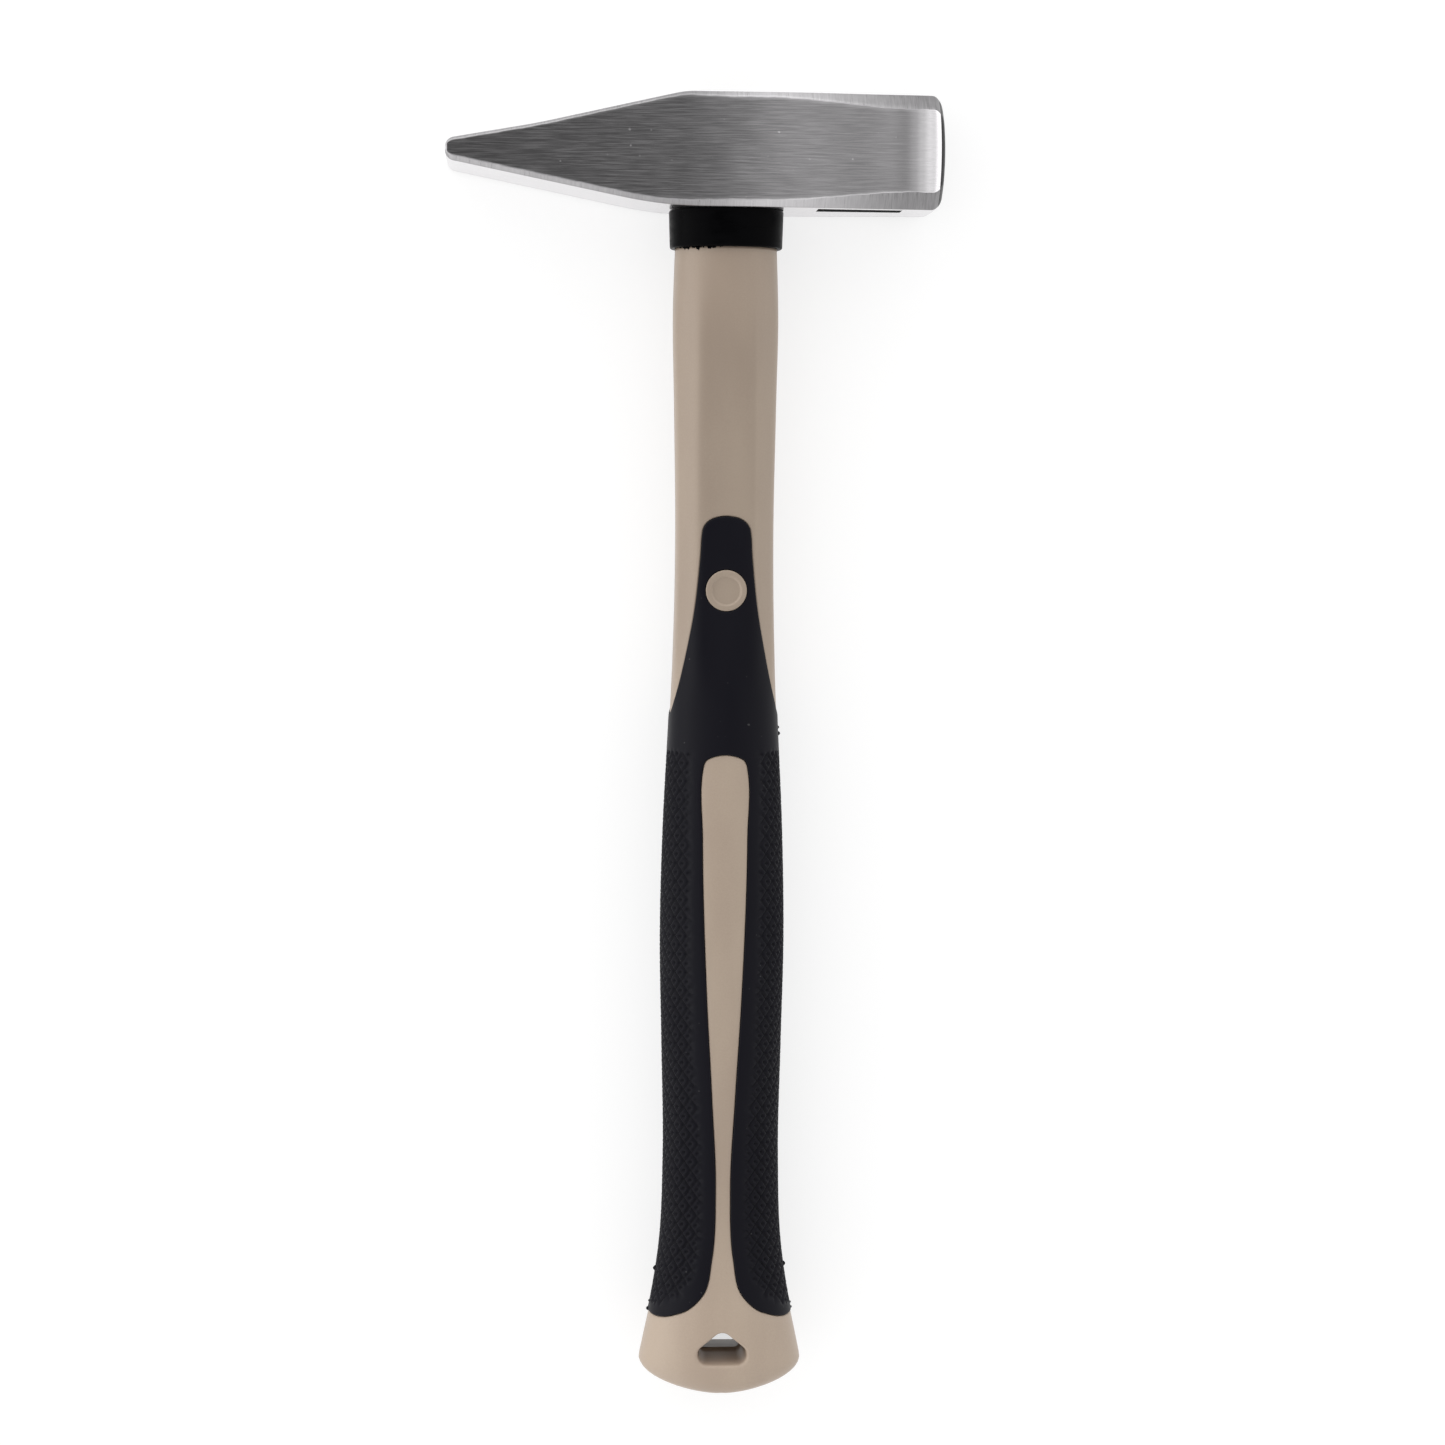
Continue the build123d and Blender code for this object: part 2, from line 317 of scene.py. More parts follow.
def finish(name, **sockets):
    """A material with one Principled shader, and the tree to build on."""
    made = bpy.data.materials.new(name)
    made.use_nodes = True
    tree = made.node_tree
    tree.nodes.clear()
    shader = add(tree, "ShaderNodeBsdfPrincipled", sockets)
    add(tree, "ShaderNodeOutputMaterial", {"Surface": shader.outputs[0]})
    return made, tree, shader


def link(tree, socket, shader, name):
    """Feeds a socket into the shader's input of that name."""
    tree.links.new(socket, shader.inputs[name])


# %% Recipe for ground steel
def along_head(tree, stops):
    """A share that changes along the head. Every stop is an x in millimetres and the share there."""
    place = add(tree, "ShaderNodeSeparateXYZ", {0: add(tree, "ShaderNodeTexCoord").outputs["Object"]})
    first, last = stops[0][0], stops[-1][0]
    inputs = {"Value": place.outputs["X"], "From Min": first * MM, "From Max": last * MM}
    ramp = add(tree, "ShaderNodeValToRGB", {0: add(tree, "ShaderNodeMapRange", inputs).outputs[0]})
    ramp.color_ramp.interpolation = "EASE"
    for _ in stops[2:]:
        ramp.color_ramp.elements.new(0.5)
    for element, (x, share) in zip(ramp.color_ramp.elements, stops):
        element.position = (x - first) / (last - first)
        element.color = (share, share, share, 1)
    return ramp.outputs["Color"]


def ground_steel(name, per_metre, depth, roughness, tones, painted_reflection, streaks):
    """Steel with scratches that are long where per_metre is small. The tone stops along the head
    paint a reflection into the colour: they say how much of the light tone there is along the
    head. streaks says how strongly the scratches show in it."""
    made, tree, shader = finish(name, Metallic=1.0)
    steel_dark, steel_light = ((tone, tone * 0.98, tone, 1) for tone in tones)
    scratch = metres_noise(tree, per_metre, detail=3.0, rough=0.6)
    patch = metres_noise(tree, (110, 160, 160), detail=3.0, offset=(3.1, 1.7, 0.4))
    streaked, patchy = (math(tree, "MULTIPLY", *pair) for pair in ((scratch, streaks), (patch, 0.16)))
    grain = math(tree, "ADD", streaked, patchy)
    # Painted reflection: the tone along the head, with the grain of scratches and patches on top.
    tone = math(tree, "ADD", along_head(tree, painted_reflection), math(tree, "SUBTRACT", grain, streaks / 2 + 0.08))
    colour = mixed(tree, tone, steel_dark, steel_light)
    link(tree, colour, shader, "Base Color")
    link(tree, ranged(tree, scratch, 0.3, 0.7, roughness - 0.03, roughness + 0.05), shader, "Roughness")
    pits = metres_noise(tree, (800, 800, 800), detail=1.0, offset=(0.3, 5.2, 2.6))
    nicks = ranged(tree, pits, 0.76, 0.84, 0.0, -1.0)
    link(tree, bump(tree, nicks, 0.00003, bump(tree, scratch, depth)), shader, "Normal")
    return made


# %% The plain black finish of a bar on the lower wall
def black_bar_finish():
    """A rough black finish that stays dark even when it is seen at a shallow angle."""
    made, tree, shader = finish("black_bar_finish", Roughness=0.8)
    shader.inputs["Specular IOR Level"].default_value = 0.02
    soot = metres_noise(tree, (900, 900, 900), detail=3.0)
    colour = mixed(tree, soot, (0.003, 0.003, 0.003, 1), (0.014, 0.014, 0.015, 1))
    link(tree, colour, shader, "Base Color")
    link(tree, ranged(tree, soot, 0.3, 0.7, 0.7, 0.9), shader, "Roughness")
    link(tree, bump(tree, soot, 0.00003), shader, "Normal")
    return made


# %% Finishes of the head
along_x, across_x = (120, 3000, 3000), (2600, 160, 160)
# The cheek's and the bevels' stops paint the tent's reflection into the steel's colour: on the cheek dark
# at the peen, light in the middle, a dip and a bright end near the face; on the bevels light past the eye
# and dark at the face.
cheek_painted_reflection = [
    (-50, 0.08),
    (-12, 0.10),
    (17, 0.64),
    (31, 0.46),
    (37.5, 0.50),
    (41.3, 0.36),
    (43.5, 0.32),
    (45.2, 0.58),
    (47, 0.95),
]
bevel_painted_reflection = [(-50, 0.43), (-10, 0.30), (10, 0.70), (46, 0.17)]
even = [(-60, 0.5), (50, 0.5)]
cheek_steel = ground_steel("cheek_steel", along_x, 0.000008, 0.18, (0.36, 1.0), cheek_painted_reflection, 0.42)
bevel_steel = ground_steel("bevel_steel", across_x, 0.000010, 0.30, (0.16, 0.68), bevel_painted_reflection, 0.5)
wall_steel = ground_steel("wall_steel", (160, 900, 2400), 0.000006, 0.22, (0.60, 0.98), even, 0.7)
face_steel = ground_steel("face_steel", (1500, 1500, 240), 0.000010, 0.28, (0.36, 0.56), even, 0.3)
# The rounded edge of the striking face is nearly black steel: a painted dark reflection.
painted_dark_edge_steel = ground_steel("painted_dark_edge_steel", (900, 900, 900), 0.000010, 0.40, (0.02, 0.05), even, 0.3)
head_finishes = [cheek_steel, bevel_steel, wall_steel, face_steel, painted_dark_edge_steel, black_bar_finish()]
CHEEK, BEVEL, WALL, FACE, EDGE, BLACK_BAR = range(6)
print("finishes of the head:", [made.name for made in head_finishes])

# %% [markdown]
# ## The head
#
# A cross peen head is an eight-sided bar. Towards the peen it tapers to a blunt edge, and
# towards the striking face its four bevels widen. It could be cut from a box with boolean
# tools, but a stack of rings is easier to steer: every ring has the same eight corners, a few
# values say how high it is, how thick and how wide its bevels are, and the corners are rounded
# a little, because ground edges are never knife sharp. A patch of the lower wall gets a plain
# black bar without any letters.

# %% The side view, as two outlines from peen to face
poll_length, peen_length = head_high[0], -head_low[0]
half_height = (head_high[1] - head_low[1]) / 2
peen_drop, tip_half_height, tip_radius = 0.7, 2.4, 2.3


def rounded(corners, steps=10):
    """Polyline through (x, y, radius) corners, each rounded by an arc of that radius."""
    corners = [(np.array(c[:2], float), c[2]) for c in corners]
    points = [corners[0][0]]
    for (before, _), (corner, radius), (after, _) in zip(corners, corners[1:], corners[2:]):
        into = (before - corner) / np.linalg.norm(before - corner)
        out = (after - corner) / np.linalg.norm(after - corner)
        half_turn = (pi - np.arccos(np.clip(into @ out, -1, 1))) / 2
        reach = radius * tan(half_turn)
        centre = corner + (into + out) / np.linalg.norm(into + out) * radius / cos(half_turn)
        start, end = corner + into * reach - centre, corner + out * reach - centre
        for step in range(steps + 1):
            share = step / steps
            swing = start * sin((1 - share) * 2 * half_turn) + end * sin(share * 2 * half_turn)
            points.append(centre + swing / sin(2 * half_turn))
    points.append(corners[-1][0])
    return np.array(points)


top_outline = rounded(
    [
        (-peen_length, -peen_drop, 0),
        (-peen_length, tip_half_height - peen_drop, tip_radius),
        (-45.0, 5.5, 150.0),
        (-10.3, half_height, 20.0),
        (poll_length, half_height, 0),
    ]
)
bottom_outline = rounded(
    [
        (-peen_length, -peen_drop, 0),
        (-peen_length, -tip_half_height - peen_drop, tip_radius),
        (-15.2, -half_height, 100.0),
        (poll_length, -half_height, 0),
    ]
)
print("side view:", len(top_outline), "points above and", len(bottom_outline), "below")

# %% Bevels and edges of the head
bevel_start, bevel_end = 9.0, 45.0
eye_start, eye_end = -18.0, 16.0
edge_radius, most_trim = 0.28, 0.3
tip_chamfer = 0.35
bright_end, bright_tilt = 6.2, radians(11)
face_round, face_inset, crown_radius = 3.7, 3.1, 85.0


def eased(x, start, end):
    """0 before start, 1 after end, and smooth between them."""
    share = np.clip((x - start) / (end - start), 0, 1)
    return share * share * (3 - 2 * share)


def bevel_widths(x):
    """How far the upper and the lower bevel reach over the cheek, and how deep they go down it."""
    waver = 0.04 * sin(0.9 * x + 0.6) + 0.03 * sin(2.3 * x)
    widen = eased(x, bevel_start, bevel_end)
    past_peen = eased(x, eye_start, 2.0)
    upper = 0.65 + 0.6 * past_peen + 2.4 * widen + waver
    lower = 1.1 + 0.45 * past_peen + 2.3 * widen + waver
    depth = 1.0 + 0.3 * past_peen + 2.4 * widen
    return upper, lower, depth


# %% One ring of the head
def ring(x, inset=0.0, arc_steps=3):
    """The section at x: points once round it, and the kind of surface that follows each point."""
    top = np.interp(x, top_outline[:, 0], top_outline[:, 1]) - inset
    bottom = np.interp(x, bottom_outline[:, 0], bottom_outline[:, 1]) + inset
    upper, lower, depth = bevel_widths(x)
    fit = min(1.0, (top - bottom) / (2.6 * (upper + lower)))
    upper, lower = upper * fit, lower * fit
    fall = max(0.0, x - (poll_length - face_round - bright_end)) ** 2 * tan(bright_tilt) / 2 / bright_end
    tip = max(0.0, tip_chamfer - (x + peen_length) * 0.9)
    z = half_thickness - inset - fall - tip
    deep = min(depth, z / 2)
    corners = [
        (top - upper, z),
        (bottom + lower, z),
        (bottom, z - deep),
        (bottom, -z + deep),
        (bottom + lower, -z),
        (top - upper, -z),
        (top, -z + deep),
        (top, z - deep),
    ]
    spans = (26, 4, 10, 4, 26, 4, 10, 4)
    kinds = (CHEEK, BEVEL, WALL, BEVEL, CHEEK, BEVEL, WALL, BEVEL)
    points, surface = [], []
    for i, here in enumerate(corners):
        here, last, following = (np.array(corners[j % 8], float) for j in (i, i - 1, i + 1))
        into, out = last - here, following - here
        trim = min(edge_radius, most_trim * np.linalg.norm(into), most_trim * np.linalg.norm(out))
        start, end = here + into / np.linalg.norm(into) * trim, here + out / np.linalg.norm(out) * trim
        for share in np.linspace(0, 1, arc_steps + 1):
            bend = start * (1 - share) ** 2 + here * 2 * share * (1 - share) + end * share**2
            points.append(bend)
            surface.append(kinds[i] if share > 0.5 else kinds[i - 1])
        far = following - out / np.linalg.norm(out) * min(edge_radius, most_trim * np.linalg.norm(out))
        for share in np.arange(1, spans[i]) / spans[i]:
            points.append(end * (1 - share) + far * share)
            surface.append(kinds[i])
    return [(x, y, middle + z) for y, z in points], surface


def crowned(points, share):
    """A ring of the striking face: the section shrunk to a share, on the crown's sphere."""
    flat = (np.array(points) - (0, 0, middle)) * (0, share, share)
    rise = (flat[:, 1] ** 2 + flat[:, 2] ** 2) / 2 / crown_radius
    return np.column_stack([poll_length - rise, flat[:, 1], flat[:, 2] + middle])


# %% The rings, from the peen to the striking face
tip_steps = -peen_length + tip_radius * (1 - np.cos(np.linspace(0.06, pi / 2, 12)))
peen_steps = np.linspace(-peen_length + tip_radius, eye_start, 42)[1:]
eye_steps = np.linspace(eye_start, eye_end, 44)[1:]
poll_steps = np.linspace(eye_end, poll_length - face_round, 44)[1:]
rings, kinds = [], []
for x in np.concatenate([tip_steps, peen_steps, eye_steps, poll_steps]):
    points, surface = ring(x)
    rings.append(points)
    kinds.append(surface)
columns = len(rings[0])
for turn in np.linspace(0, pi / 2, 11)[1:]:
    grown = np.array(ring(poll_length - face_round, face_inset * (1 - cos(turn)))[0])
    crown_drop = (grown[:, 1] ** 2 + (grown[:, 2] - middle) ** 2) / 2 / crown_radius
    grown[:, 0] = poll_length - face_round + (face_round - crown_drop) * sin(turn)
    rings.append(grown)
    kinds.append([EDGE] * columns if 0.75 < turn < 1.5 else kinds[-1])
kinds[-1] = [FACE] * columns
for share in (0.93, 0.8, 0.6, 0.4, 0.2, 0.05):
    rings.append(crowned(grown, share))
    kinds.append([FACE] * columns)
print("head:", len(rings), "rings of", columns, "points")

# %% The head
head_points = np.concatenate([np.asarray(r) for r in rings])
head_faces = grid_faces(len(rings), columns)
head_kinds = [kinds[i][j] for i in range(len(rings) - 1) for j in range(columns)]
head_faces += [tuple(range(columns))[::-1], tuple(range(len(head_points) - columns, len(head_points)))]
head_kinds += [BEVEL, FACE]
# Faces of the lower wall inside this box get the plain black finish.
black_bar_middle, black_bar_half = np.array([31.2, 18.6]), np.array([10.2, 3.4])
for number, face in enumerate(head_faces):
    centre = head_points[list(face)].mean(axis=0)
    on_black_bar = (np.abs(centre[[0, 2]] - black_bar_middle) < black_bar_half).all()
    if on_black_bar and head_kinds[number] == WALL and centre[1] < 0:
        head_kinds[number] = BLACK_BAR
print("stamp:", head_kinds.count(BLACK_BAR), "faces")
head = piece("ground_head", head_points, head_faces, head_finishes, head_kinds, weld=0.0005)

# %% [markdown]
# The eye is an oval hole from the top of the head to the bottom, a little wider at the top so
# that the resin holds like a wedge. Here a boolean is the right tool: one smooth hole through
# one closed solid.

# %% The eye
resin_low, resin_high = millimetres("eye_resin")
eye_flare = 1.0
eye_half_width, eye_half_depth = resin_high[0] - eye_flare, (resin_high[2] - resin_low[2]) / 2 - eye_flare
eye_sides, overshoot = 96, 1.0


def eye_cutter():
    """A tapered oval plug, a little longer than the hole."""
    taper = eye_flare / (2 * half_height)
    turns = np.linspace(0, 2 * pi, eye_sides, endpoint=False)
    points = []
    for level in (-half_height - overshoot, half_height + overshoot):
        grow = taper * (level + half_height)
        for turn in turns:
            x, z = (eye_half_width + grow) * cos(turn), (eye_half_depth + grow) * sin(turn)
            points.append((x, level, middle + z))
    ends = [tuple(range(eye_sides)), tuple(range(eye_sides, 2 * eye_sides))]
    return piece("eye_cutter", points, grid_faces(2, eye_sides) + ends, [face_steel])


cut(head, eye_cutter())
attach(head, "root")
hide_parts("hammer_head")

# %% [markdown]
# ## The collar
#
# A short black ring fills the corner between head and jacket. It is one band of rounded
# sections round an oval, with a slight taper. Some black resin was squeezed out under its lower
# edge when the handle was set, and that ragged bead is modelled too.
#
# Its plastic is the darkest and smoothest of the three. Plain black would look like a hole in the
# view, so the base keeps a trace of grey, and the roughness drifts a little from place to place.


# %% Finish of the collar
def collar_plastic():
    """Smooth black plastic that is a little uneven in its gloss."""
    made, tree, shader = finish("collar_plastic", Roughness=0.3)
    shader.inputs["Specular IOR Level"].default_value = 0.03
    cloud = metres_noise(tree, (260, 700, 260), detail=3.0)
    colour = mixed(tree, cloud, (0.0006, 0.0006, 0.0008, 1), (0.0018, 0.0018, 0.0022, 1))
    link(tree, colour, shader, "Base Color")
    link(tree, ranged(tree, cloud, 0.3, 0.7, 0.26, 0.42), shader, "Roughness")
    ripple = metres_noise(tree, (900, 260, 900), detail=2.0)
    link(tree, bump(tree, ripple, 0.000012), shader, "Normal")
    return made


# %% The collar
roundness = 2.3
collar_sides = 120
collar_top, collar_bottom = -collar_high[1], -collar_low[1]
collar_half = np.array([(collar_high[0] - collar_low[0]) / 2, (collar_high[2] - collar_low[2]) / 2])
collar_wall, collar_taper, collar_edge = 2.4, 0.25, 0.45


def oval_points(half_width, half_depth, reach, count=collar_sides):
    """Points of a rounded oval, fuller than an ellipse, square to the handle."""
    turns = np.linspace(0, 2 * pi, count, endpoint=False)
    across, up = np.cos(turns), np.sin(turns)
    size = np.abs(across / half_width) ** roundness + np.abs(up / half_depth) ** roundness
    size **= -1 / roundness
    return np.column_stack([size * across, np.full(count, -reach), middle + size * up])


def collar_profile():
    """(reach, shrink) round the collar's wall: down the outside and back up the inside."""
    quarter = np.linspace(0, pi / 2, 5)
    turned = [(collar_edge * (1 - sin(a)), collar_edge * (1 - cos(a))) for a in quarter]
    upper = [(collar_top + down, shrink) for down, shrink in turned[::-1]]
    lower = [(collar_bottom - up, collar_taper + shrink) for up, shrink in turned]
    return upper + lower + [(collar_bottom, collar_wall), (collar_top, collar_wall)]


profile = collar_profile()
profile.append(profile[0])
collar_rings = [oval_points(*(collar_half - shrink), reach) for reach, shrink in profile]
collar_faces = grid_faces(len(profile), collar_sides)
collar = piece("collar_ring", np.concatenate(collar_rings), collar_faces, [collar_plastic()])
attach(collar, "root")
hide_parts("neck_collar")

# %% [markdown]
# ## One quarter of the handle, unrolled
#
# The handle is the same to the left and right and on both faces, as the two halves of its mould
# were, so one quarter is enough: from the parting line at its side to the middle of its face.
# The quarter is a surface that unrolls almost without stretch. On the unrolled sheet `s` runs
# round the handle from the parting line, and `m` runs down it, both in true millimetres. Seams,
# knurl and hang hole are drawn on that sheet, and it is then rolled up again.
#
# Stations down the handle give the width and the depth. Between the collar and the grip the
# section changes from an oval to a soft octagon, which is what keeps a hammer from turning in
# the hand.

# %% Stations: how far down the handle, and how wide and deep it is there
butt_widest = butt_reach - 7.3
waist_depth = 19.6
stations = [
    (collar_bottom, 24.2, 20.6),
    (36.0, 25.0, 20.4),
    (60.0, 24.2, 20.0),
    (butt_reach - 205.0, 23.3, waist_depth),
    (butt_reach - 183.0, 23.9, 20.4),
    (butt_reach - 162.0, 25.6, 22.0),
    (butt_reach - 136.0, 28.1, 24.2),
    (butt_reach - 109.0, 29.2, 25.2),
    (butt_reach - 84.0, 28.2, 24.8),
    (butt_reach - 56.0, 27.3, 24.0),
    (butt_reach - 34.0, 29.2, 24.4),
    (butt_reach - 20.0, 33.6, 25.6),
    (butt_reach - 13.0, 36.6, 26.4),
    (butt_widest, 2 * body_high[0], 2 * half_thickness),
]
print("stations:", len(stations), "down to", round(butt_widest, 1), "mm")

# %% Sections
butt_squareness = 5.0
facet_flat_half, facet_sharpness = 6.9, 18.0
facets_on, facets_off = (26.0, 44.0), (116.0, 132.0)


def smooth_through(x, knots, values):
    """A smooth curve through (knot, value) pairs, read at x."""
    knots, values, x = (np.asarray(a, float) for a in (knots, values, x))
    slopes = np.gradient(values, knots)
    i = np.clip(np.searchsorted(knots, x) - 1, 0, len(knots) - 2)
    gap = knots[i + 1] - knots[i]
    t = (x - knots[i]) / gap
    value = values[i] * (1 + 2 * t) * (1 - t) ** 2 + values[i + 1] * t**2 * (3 - 2 * t)
    return value + gap * (slopes[i] * t * (1 - t) ** 2 - slopes[i + 1] * t**2 * (1 - t))


def section_points(half_width, half_depth, faceting, turns):
    """x and z of a quarter section, from the side of the handle to the middle of its face."""
    across, up = np.cos(turns), np.sin(turns)
    oval = ((across / half_width) ** roundness + (up / half_depth) ** roundness) ** (-1 / roundness)
    p = facet_sharpness
    slant = (across + up) / (facet_flat_half + half_depth)
    octagon = ((across / half_width) ** p + (up / half_depth) ** p + slant**p) ** (-1 / p)
    size = oval * (1 - faceting) + octagon * faceting
    return size * across, size * up


# %% The rolled surface as a table: rows down the handle, columns round it
row_gap, fine_columns = 0.5, 160
straight = np.arange(collar_bottom, butt_widest, row_gap)
station_reach, station_width, station_depth = np.array(stations).T
end_turns = np.linspace(0, pi / 2, 80)
end_depths = (1 - np.sin(end_turns) ** butt_squareness).clip(0) ** (1 / butt_squareness)
row_reach = np.concatenate([straight, butt_widest + (butt_reach - butt_widest) * np.sin(end_turns)])
straight_widths = smooth_through(straight, station_reach, station_width)
straight_depths = smooth_through(straight, station_reach, station_depth)
row_half_width = np.append(straight_widths / 2, station_width[-1] / 2 * np.cos(end_turns)).clip(1e-4)
row_half_depth = np.append(straight_depths / 2, station_depth[-1] / 2 * end_depths).clip(1e-4)
row_facets = eased(row_reach, *facets_on) - eased(row_reach, *facets_off)
even_share = np.linspace(0, 1, fine_columns)
section_turns = np.linspace(1e-9, pi / 2 - 1e-9, 400)
table, arc = [], []
for reach, *section in zip(row_reach, row_half_width, row_half_depth, row_facets):
    x, z = section_points(*section, section_turns)
    length = np.concatenate([[0], np.cumsum(np.hypot(np.diff(x), np.diff(z)))])
    share = length / length[-1]
    x, z = np.interp(even_share, share, x), np.interp(even_share, share, z)
    table.append(np.column_stack([x, np.full(fine_columns, -reach), z]))
    arc.append(length[-1])
table, arc = np.array(table), np.array(arc)
table[:, 0, 2] = 0.0
table[:, -1, 0] = 0.0
row_step = np.linalg.norm(np.diff(table, axis=0), axis=2).mean(axis=1)
row_m = collar_bottom + np.concatenate([[0], np.cumsum(row_step)])
down_table, round_table = np.gradient(table, axis=0), np.gradient(table, axis=1)
normal_table = np.cross(down_table, round_table)
normal_table /= np.linalg.norm(normal_table, axis=2, keepdims=True).clip(1e-12)
normal_table *= np.sign(normal_table[len(straight) // 2, fine_columns // 2, 2])
normal_table[:, 0, 2] = 0.0
normal_table[:, -1, 0] = 0.0
m_end = row_m[-1]
print("unrolled quarter:", round(m_end - collar_bottom, 1), "mm long, up to", round(arc.max(), 1), "wide")


# %% From the sheet to the handle and back
def width_at(m):
    """How wide the sheet is at m."""
    return np.interp(m, row_m, arc)


def rolled(s, m, height=0.0):
    """Points of the handle for places on the sheet, raised by height along the surface's normal."""
    s, m = np.asarray(s, float), np.asarray(m, float)
    row = np.interp(m, row_m, np.arange(len(row_m)))
    column = np.clip(s / width_at(m).clip(1e-6), 0, 1) * (fine_columns - 1)
    i, j = np.minimum(row.astype(int), len(row_m) - 2), np.minimum(column.astype(int), fine_columns - 2)
    u, v = (row - i)[:, None], (column - j)[:, None]

    def read(grid):
        first = grid[i, j] * (1 - v) + grid[i, j + 1] * v
        second = grid[i + 1, j] * (1 - v) + grid[i + 1, j + 1] * v
        return first * (1 - u) + second * u

    normal = read(normal_table)
    normal /= np.linalg.norm(normal, axis=1, keepdims=True).clip(1e-9)
    return read(table) + normal * np.broadcast_to(height, s.shape)[:, None]


def unrolled(x, reach):
    """Places on the sheet of points given by their distance from the axis and their reach."""
    places = []
    for one_x, one_reach in zip(x, reach):
        row = np.interp(one_reach, row_reach, np.arange(len(row_m)))
        i = min(int(row), len(row_m) - 2)
        xs = table[i, :, 0] * (1 - row + i) + table[i + 1, :, 0] * (row - i)
        m = np.interp(one_reach, row_reach, row_m)
        places.append((np.interp(one_x, xs[::-1], even_share[::-1]) * width_at(m), m))
    return np.array(places)


# %% [markdown]
# ## Seams on the unrolled sheet
#
# Three lines bound the soft grip: the tongue that runs up the face of the neck, the window of
# jacket plastic with the lobes below it, and the boss. Each line is a few chosen points with
# arcs at its corners. Every line is continued past the parting line and the middle line as in a
# mirror, so that its parallels, which make the rounded lips, meet their mirror images cleanly.

# %% Points of the seams, as rises above the end of the butt
tongue_reach = butt_reach - 210.3
tongue_crown = [(0.0, 210.3), (1.1, 210.2), (3.2, 209.7), (4.6, 208.8), (5.5, 207.5), (5.85, 205.6)]
tongue_flank = [(6.05, 202.2), (6.5, 196.8), (7.5, 188.0), (8.9, 180.0), (10.8, 170.9), (12.4, 164.2)]
tongue_meets_side = butt_reach - 162.6
window_reach = butt_reach - 153.8
window_crown = [(0.0, 153.8), (2.2, 153.5), (3.7, 153.0), (4.5, 152.5), (5.1, 151.5), (5.32, 150.4)]
window_flank = [(5.4, 134.0), (4.2, 96.0), (2.8, 71.5), (1.8, 50.0), (2.6, 33.0)]
lobe_curve = [(4.4, 25.0), (8.4, 20.8), (12.8, 18.95)]
lobe_meets_side = butt_reach - 18.3
boss_reach, boss_radius = butt_reach - 192.7, 4.85
print("tongue from", round(tongue_reach, 1), "mm, window from", round(window_reach, 1), "mm")


# %% Arcs and smooth curves
seam_step = 0.42


def arc_points(centre, radius, start, end, steps=12):
    """Points on an arc, with angles in degrees from the x axis towards the butt."""
    turns = np.radians(np.linspace(start, end, steps))
    return np.column_stack([centre[0] + radius * np.cos(turns), centre[1] + radius * np.sin(turns)])


def spline(points, step=0.25):
    """A smooth curve through points, sampled about every step."""
    points = np.asarray(points, float)
    along = np.concatenate([[0], np.cumsum(np.linalg.norm(np.diff(points, axis=0), axis=1))])
    where = np.arange(0, along[-1] + step, step).clip(max=along[-1])
    return np.column_stack([smooth_through(where, along, points[:, k]) for k in (0, 1)])


def evenly(points, step):
    """The same line with points spaced evenly."""
    along = np.concatenate([[0], np.cumsum(np.linalg.norm(np.diff(points, axis=0), axis=1))])
    where = np.linspace(0, along[-1], max(2, int(round(along[-1] / step)) + 1))
    return np.column_stack([np.interp(where, along, points[:, k]) for k in (0, 1)])


def from_rises(points):
    """Points given by their rise above the end of the butt, as points given by their reach."""
    return [(x, butt_reach - rise) for x, rise in points]


# %% A seam on the sheet
def seam(crown, flank, meets_side):
    """A seam from the middle line to the parting line, drawn as seen from above and then unrolled."""
    mirrored = [(-x, rise) for x, rise in crown[2:0:-1]]
    drawn = spline(from_rises([*mirrored, *crown, *flank]))
    drawn = drawn[drawn[:, 0] > 0.05]
    sheet = unrolled(drawn[:, 0], drawn[:, 1])
    sheet = np.concatenate([[(width_at(sheet[0, 1]), sheet[0, 1])], sheet])
    tail = spline([sheet[-12], sheet[-1], (0.0, meets_side)])
    return evenly(np.concatenate([sheet[:-12], tail]), seam_step)


def boss_line():
    """The boss's outline, half a circle on the sheet."""
    drawn = arc_points((0, boss_reach), boss_radius, -90, 90, 60)
    return evenly(unrolled(drawn[:, 0].clip(0), drawn[:, 1]), seam_step)


# %% Parallels that meet their mirror images
def mirrored_ends(line, count=8):
    """The line continued past both of its ends, as its mirror image across the sheet's edges."""

    def reflect(points, at_side):
        across = -points[:, 0] if at_side else 2 * width_at(points[:, 1]) - points[:, 0]
        return np.column_stack([across, points[:, 1]])

    start = reflect(line[1 : count + 1][::-1], line[0, 0] < 0.5)
    end = reflect(line[-count - 1 : -1][::-1], line[-1, 0] < 0.5)
    return np.concatenate([start, line, end])


def parallel(line, offset):
    """A line beside another one, cut off at the sheet's edges. Positive offsets lie to its left."""
    long_line = mirrored_ends(line)
    along = np.gradient(long_line, axis=0)
    along /= np.linalg.norm(along, axis=1, keepdims=True)
    beside = long_line + offset * np.column_stack([-along[:, 1], along[:, 0]])
    inside = (beside[:, 0] >= 0) & (beside[:, 0] <= width_at(beside[:, 1]))
    kept = np.flatnonzero(inside)
    first, last = kept[0], kept[-1]
    points = [edge_crossing(beside[first - 1], beside[first]), *beside[first : last + 1]]
    return np.array(points + [edge_crossing(beside[last + 1], beside[last])])


def edge_crossing(outside, within):
    """Where a short step crosses the edge of the sheet."""
    if outside[0] < 0:
        share = within[0] / (within[0] - outside[0])
    else:
        over, under = outside[0] - width_at(outside[1]), width_at(within[1]) - within[0]
        share = under / (under + over)
    return within + (outside - within) * share


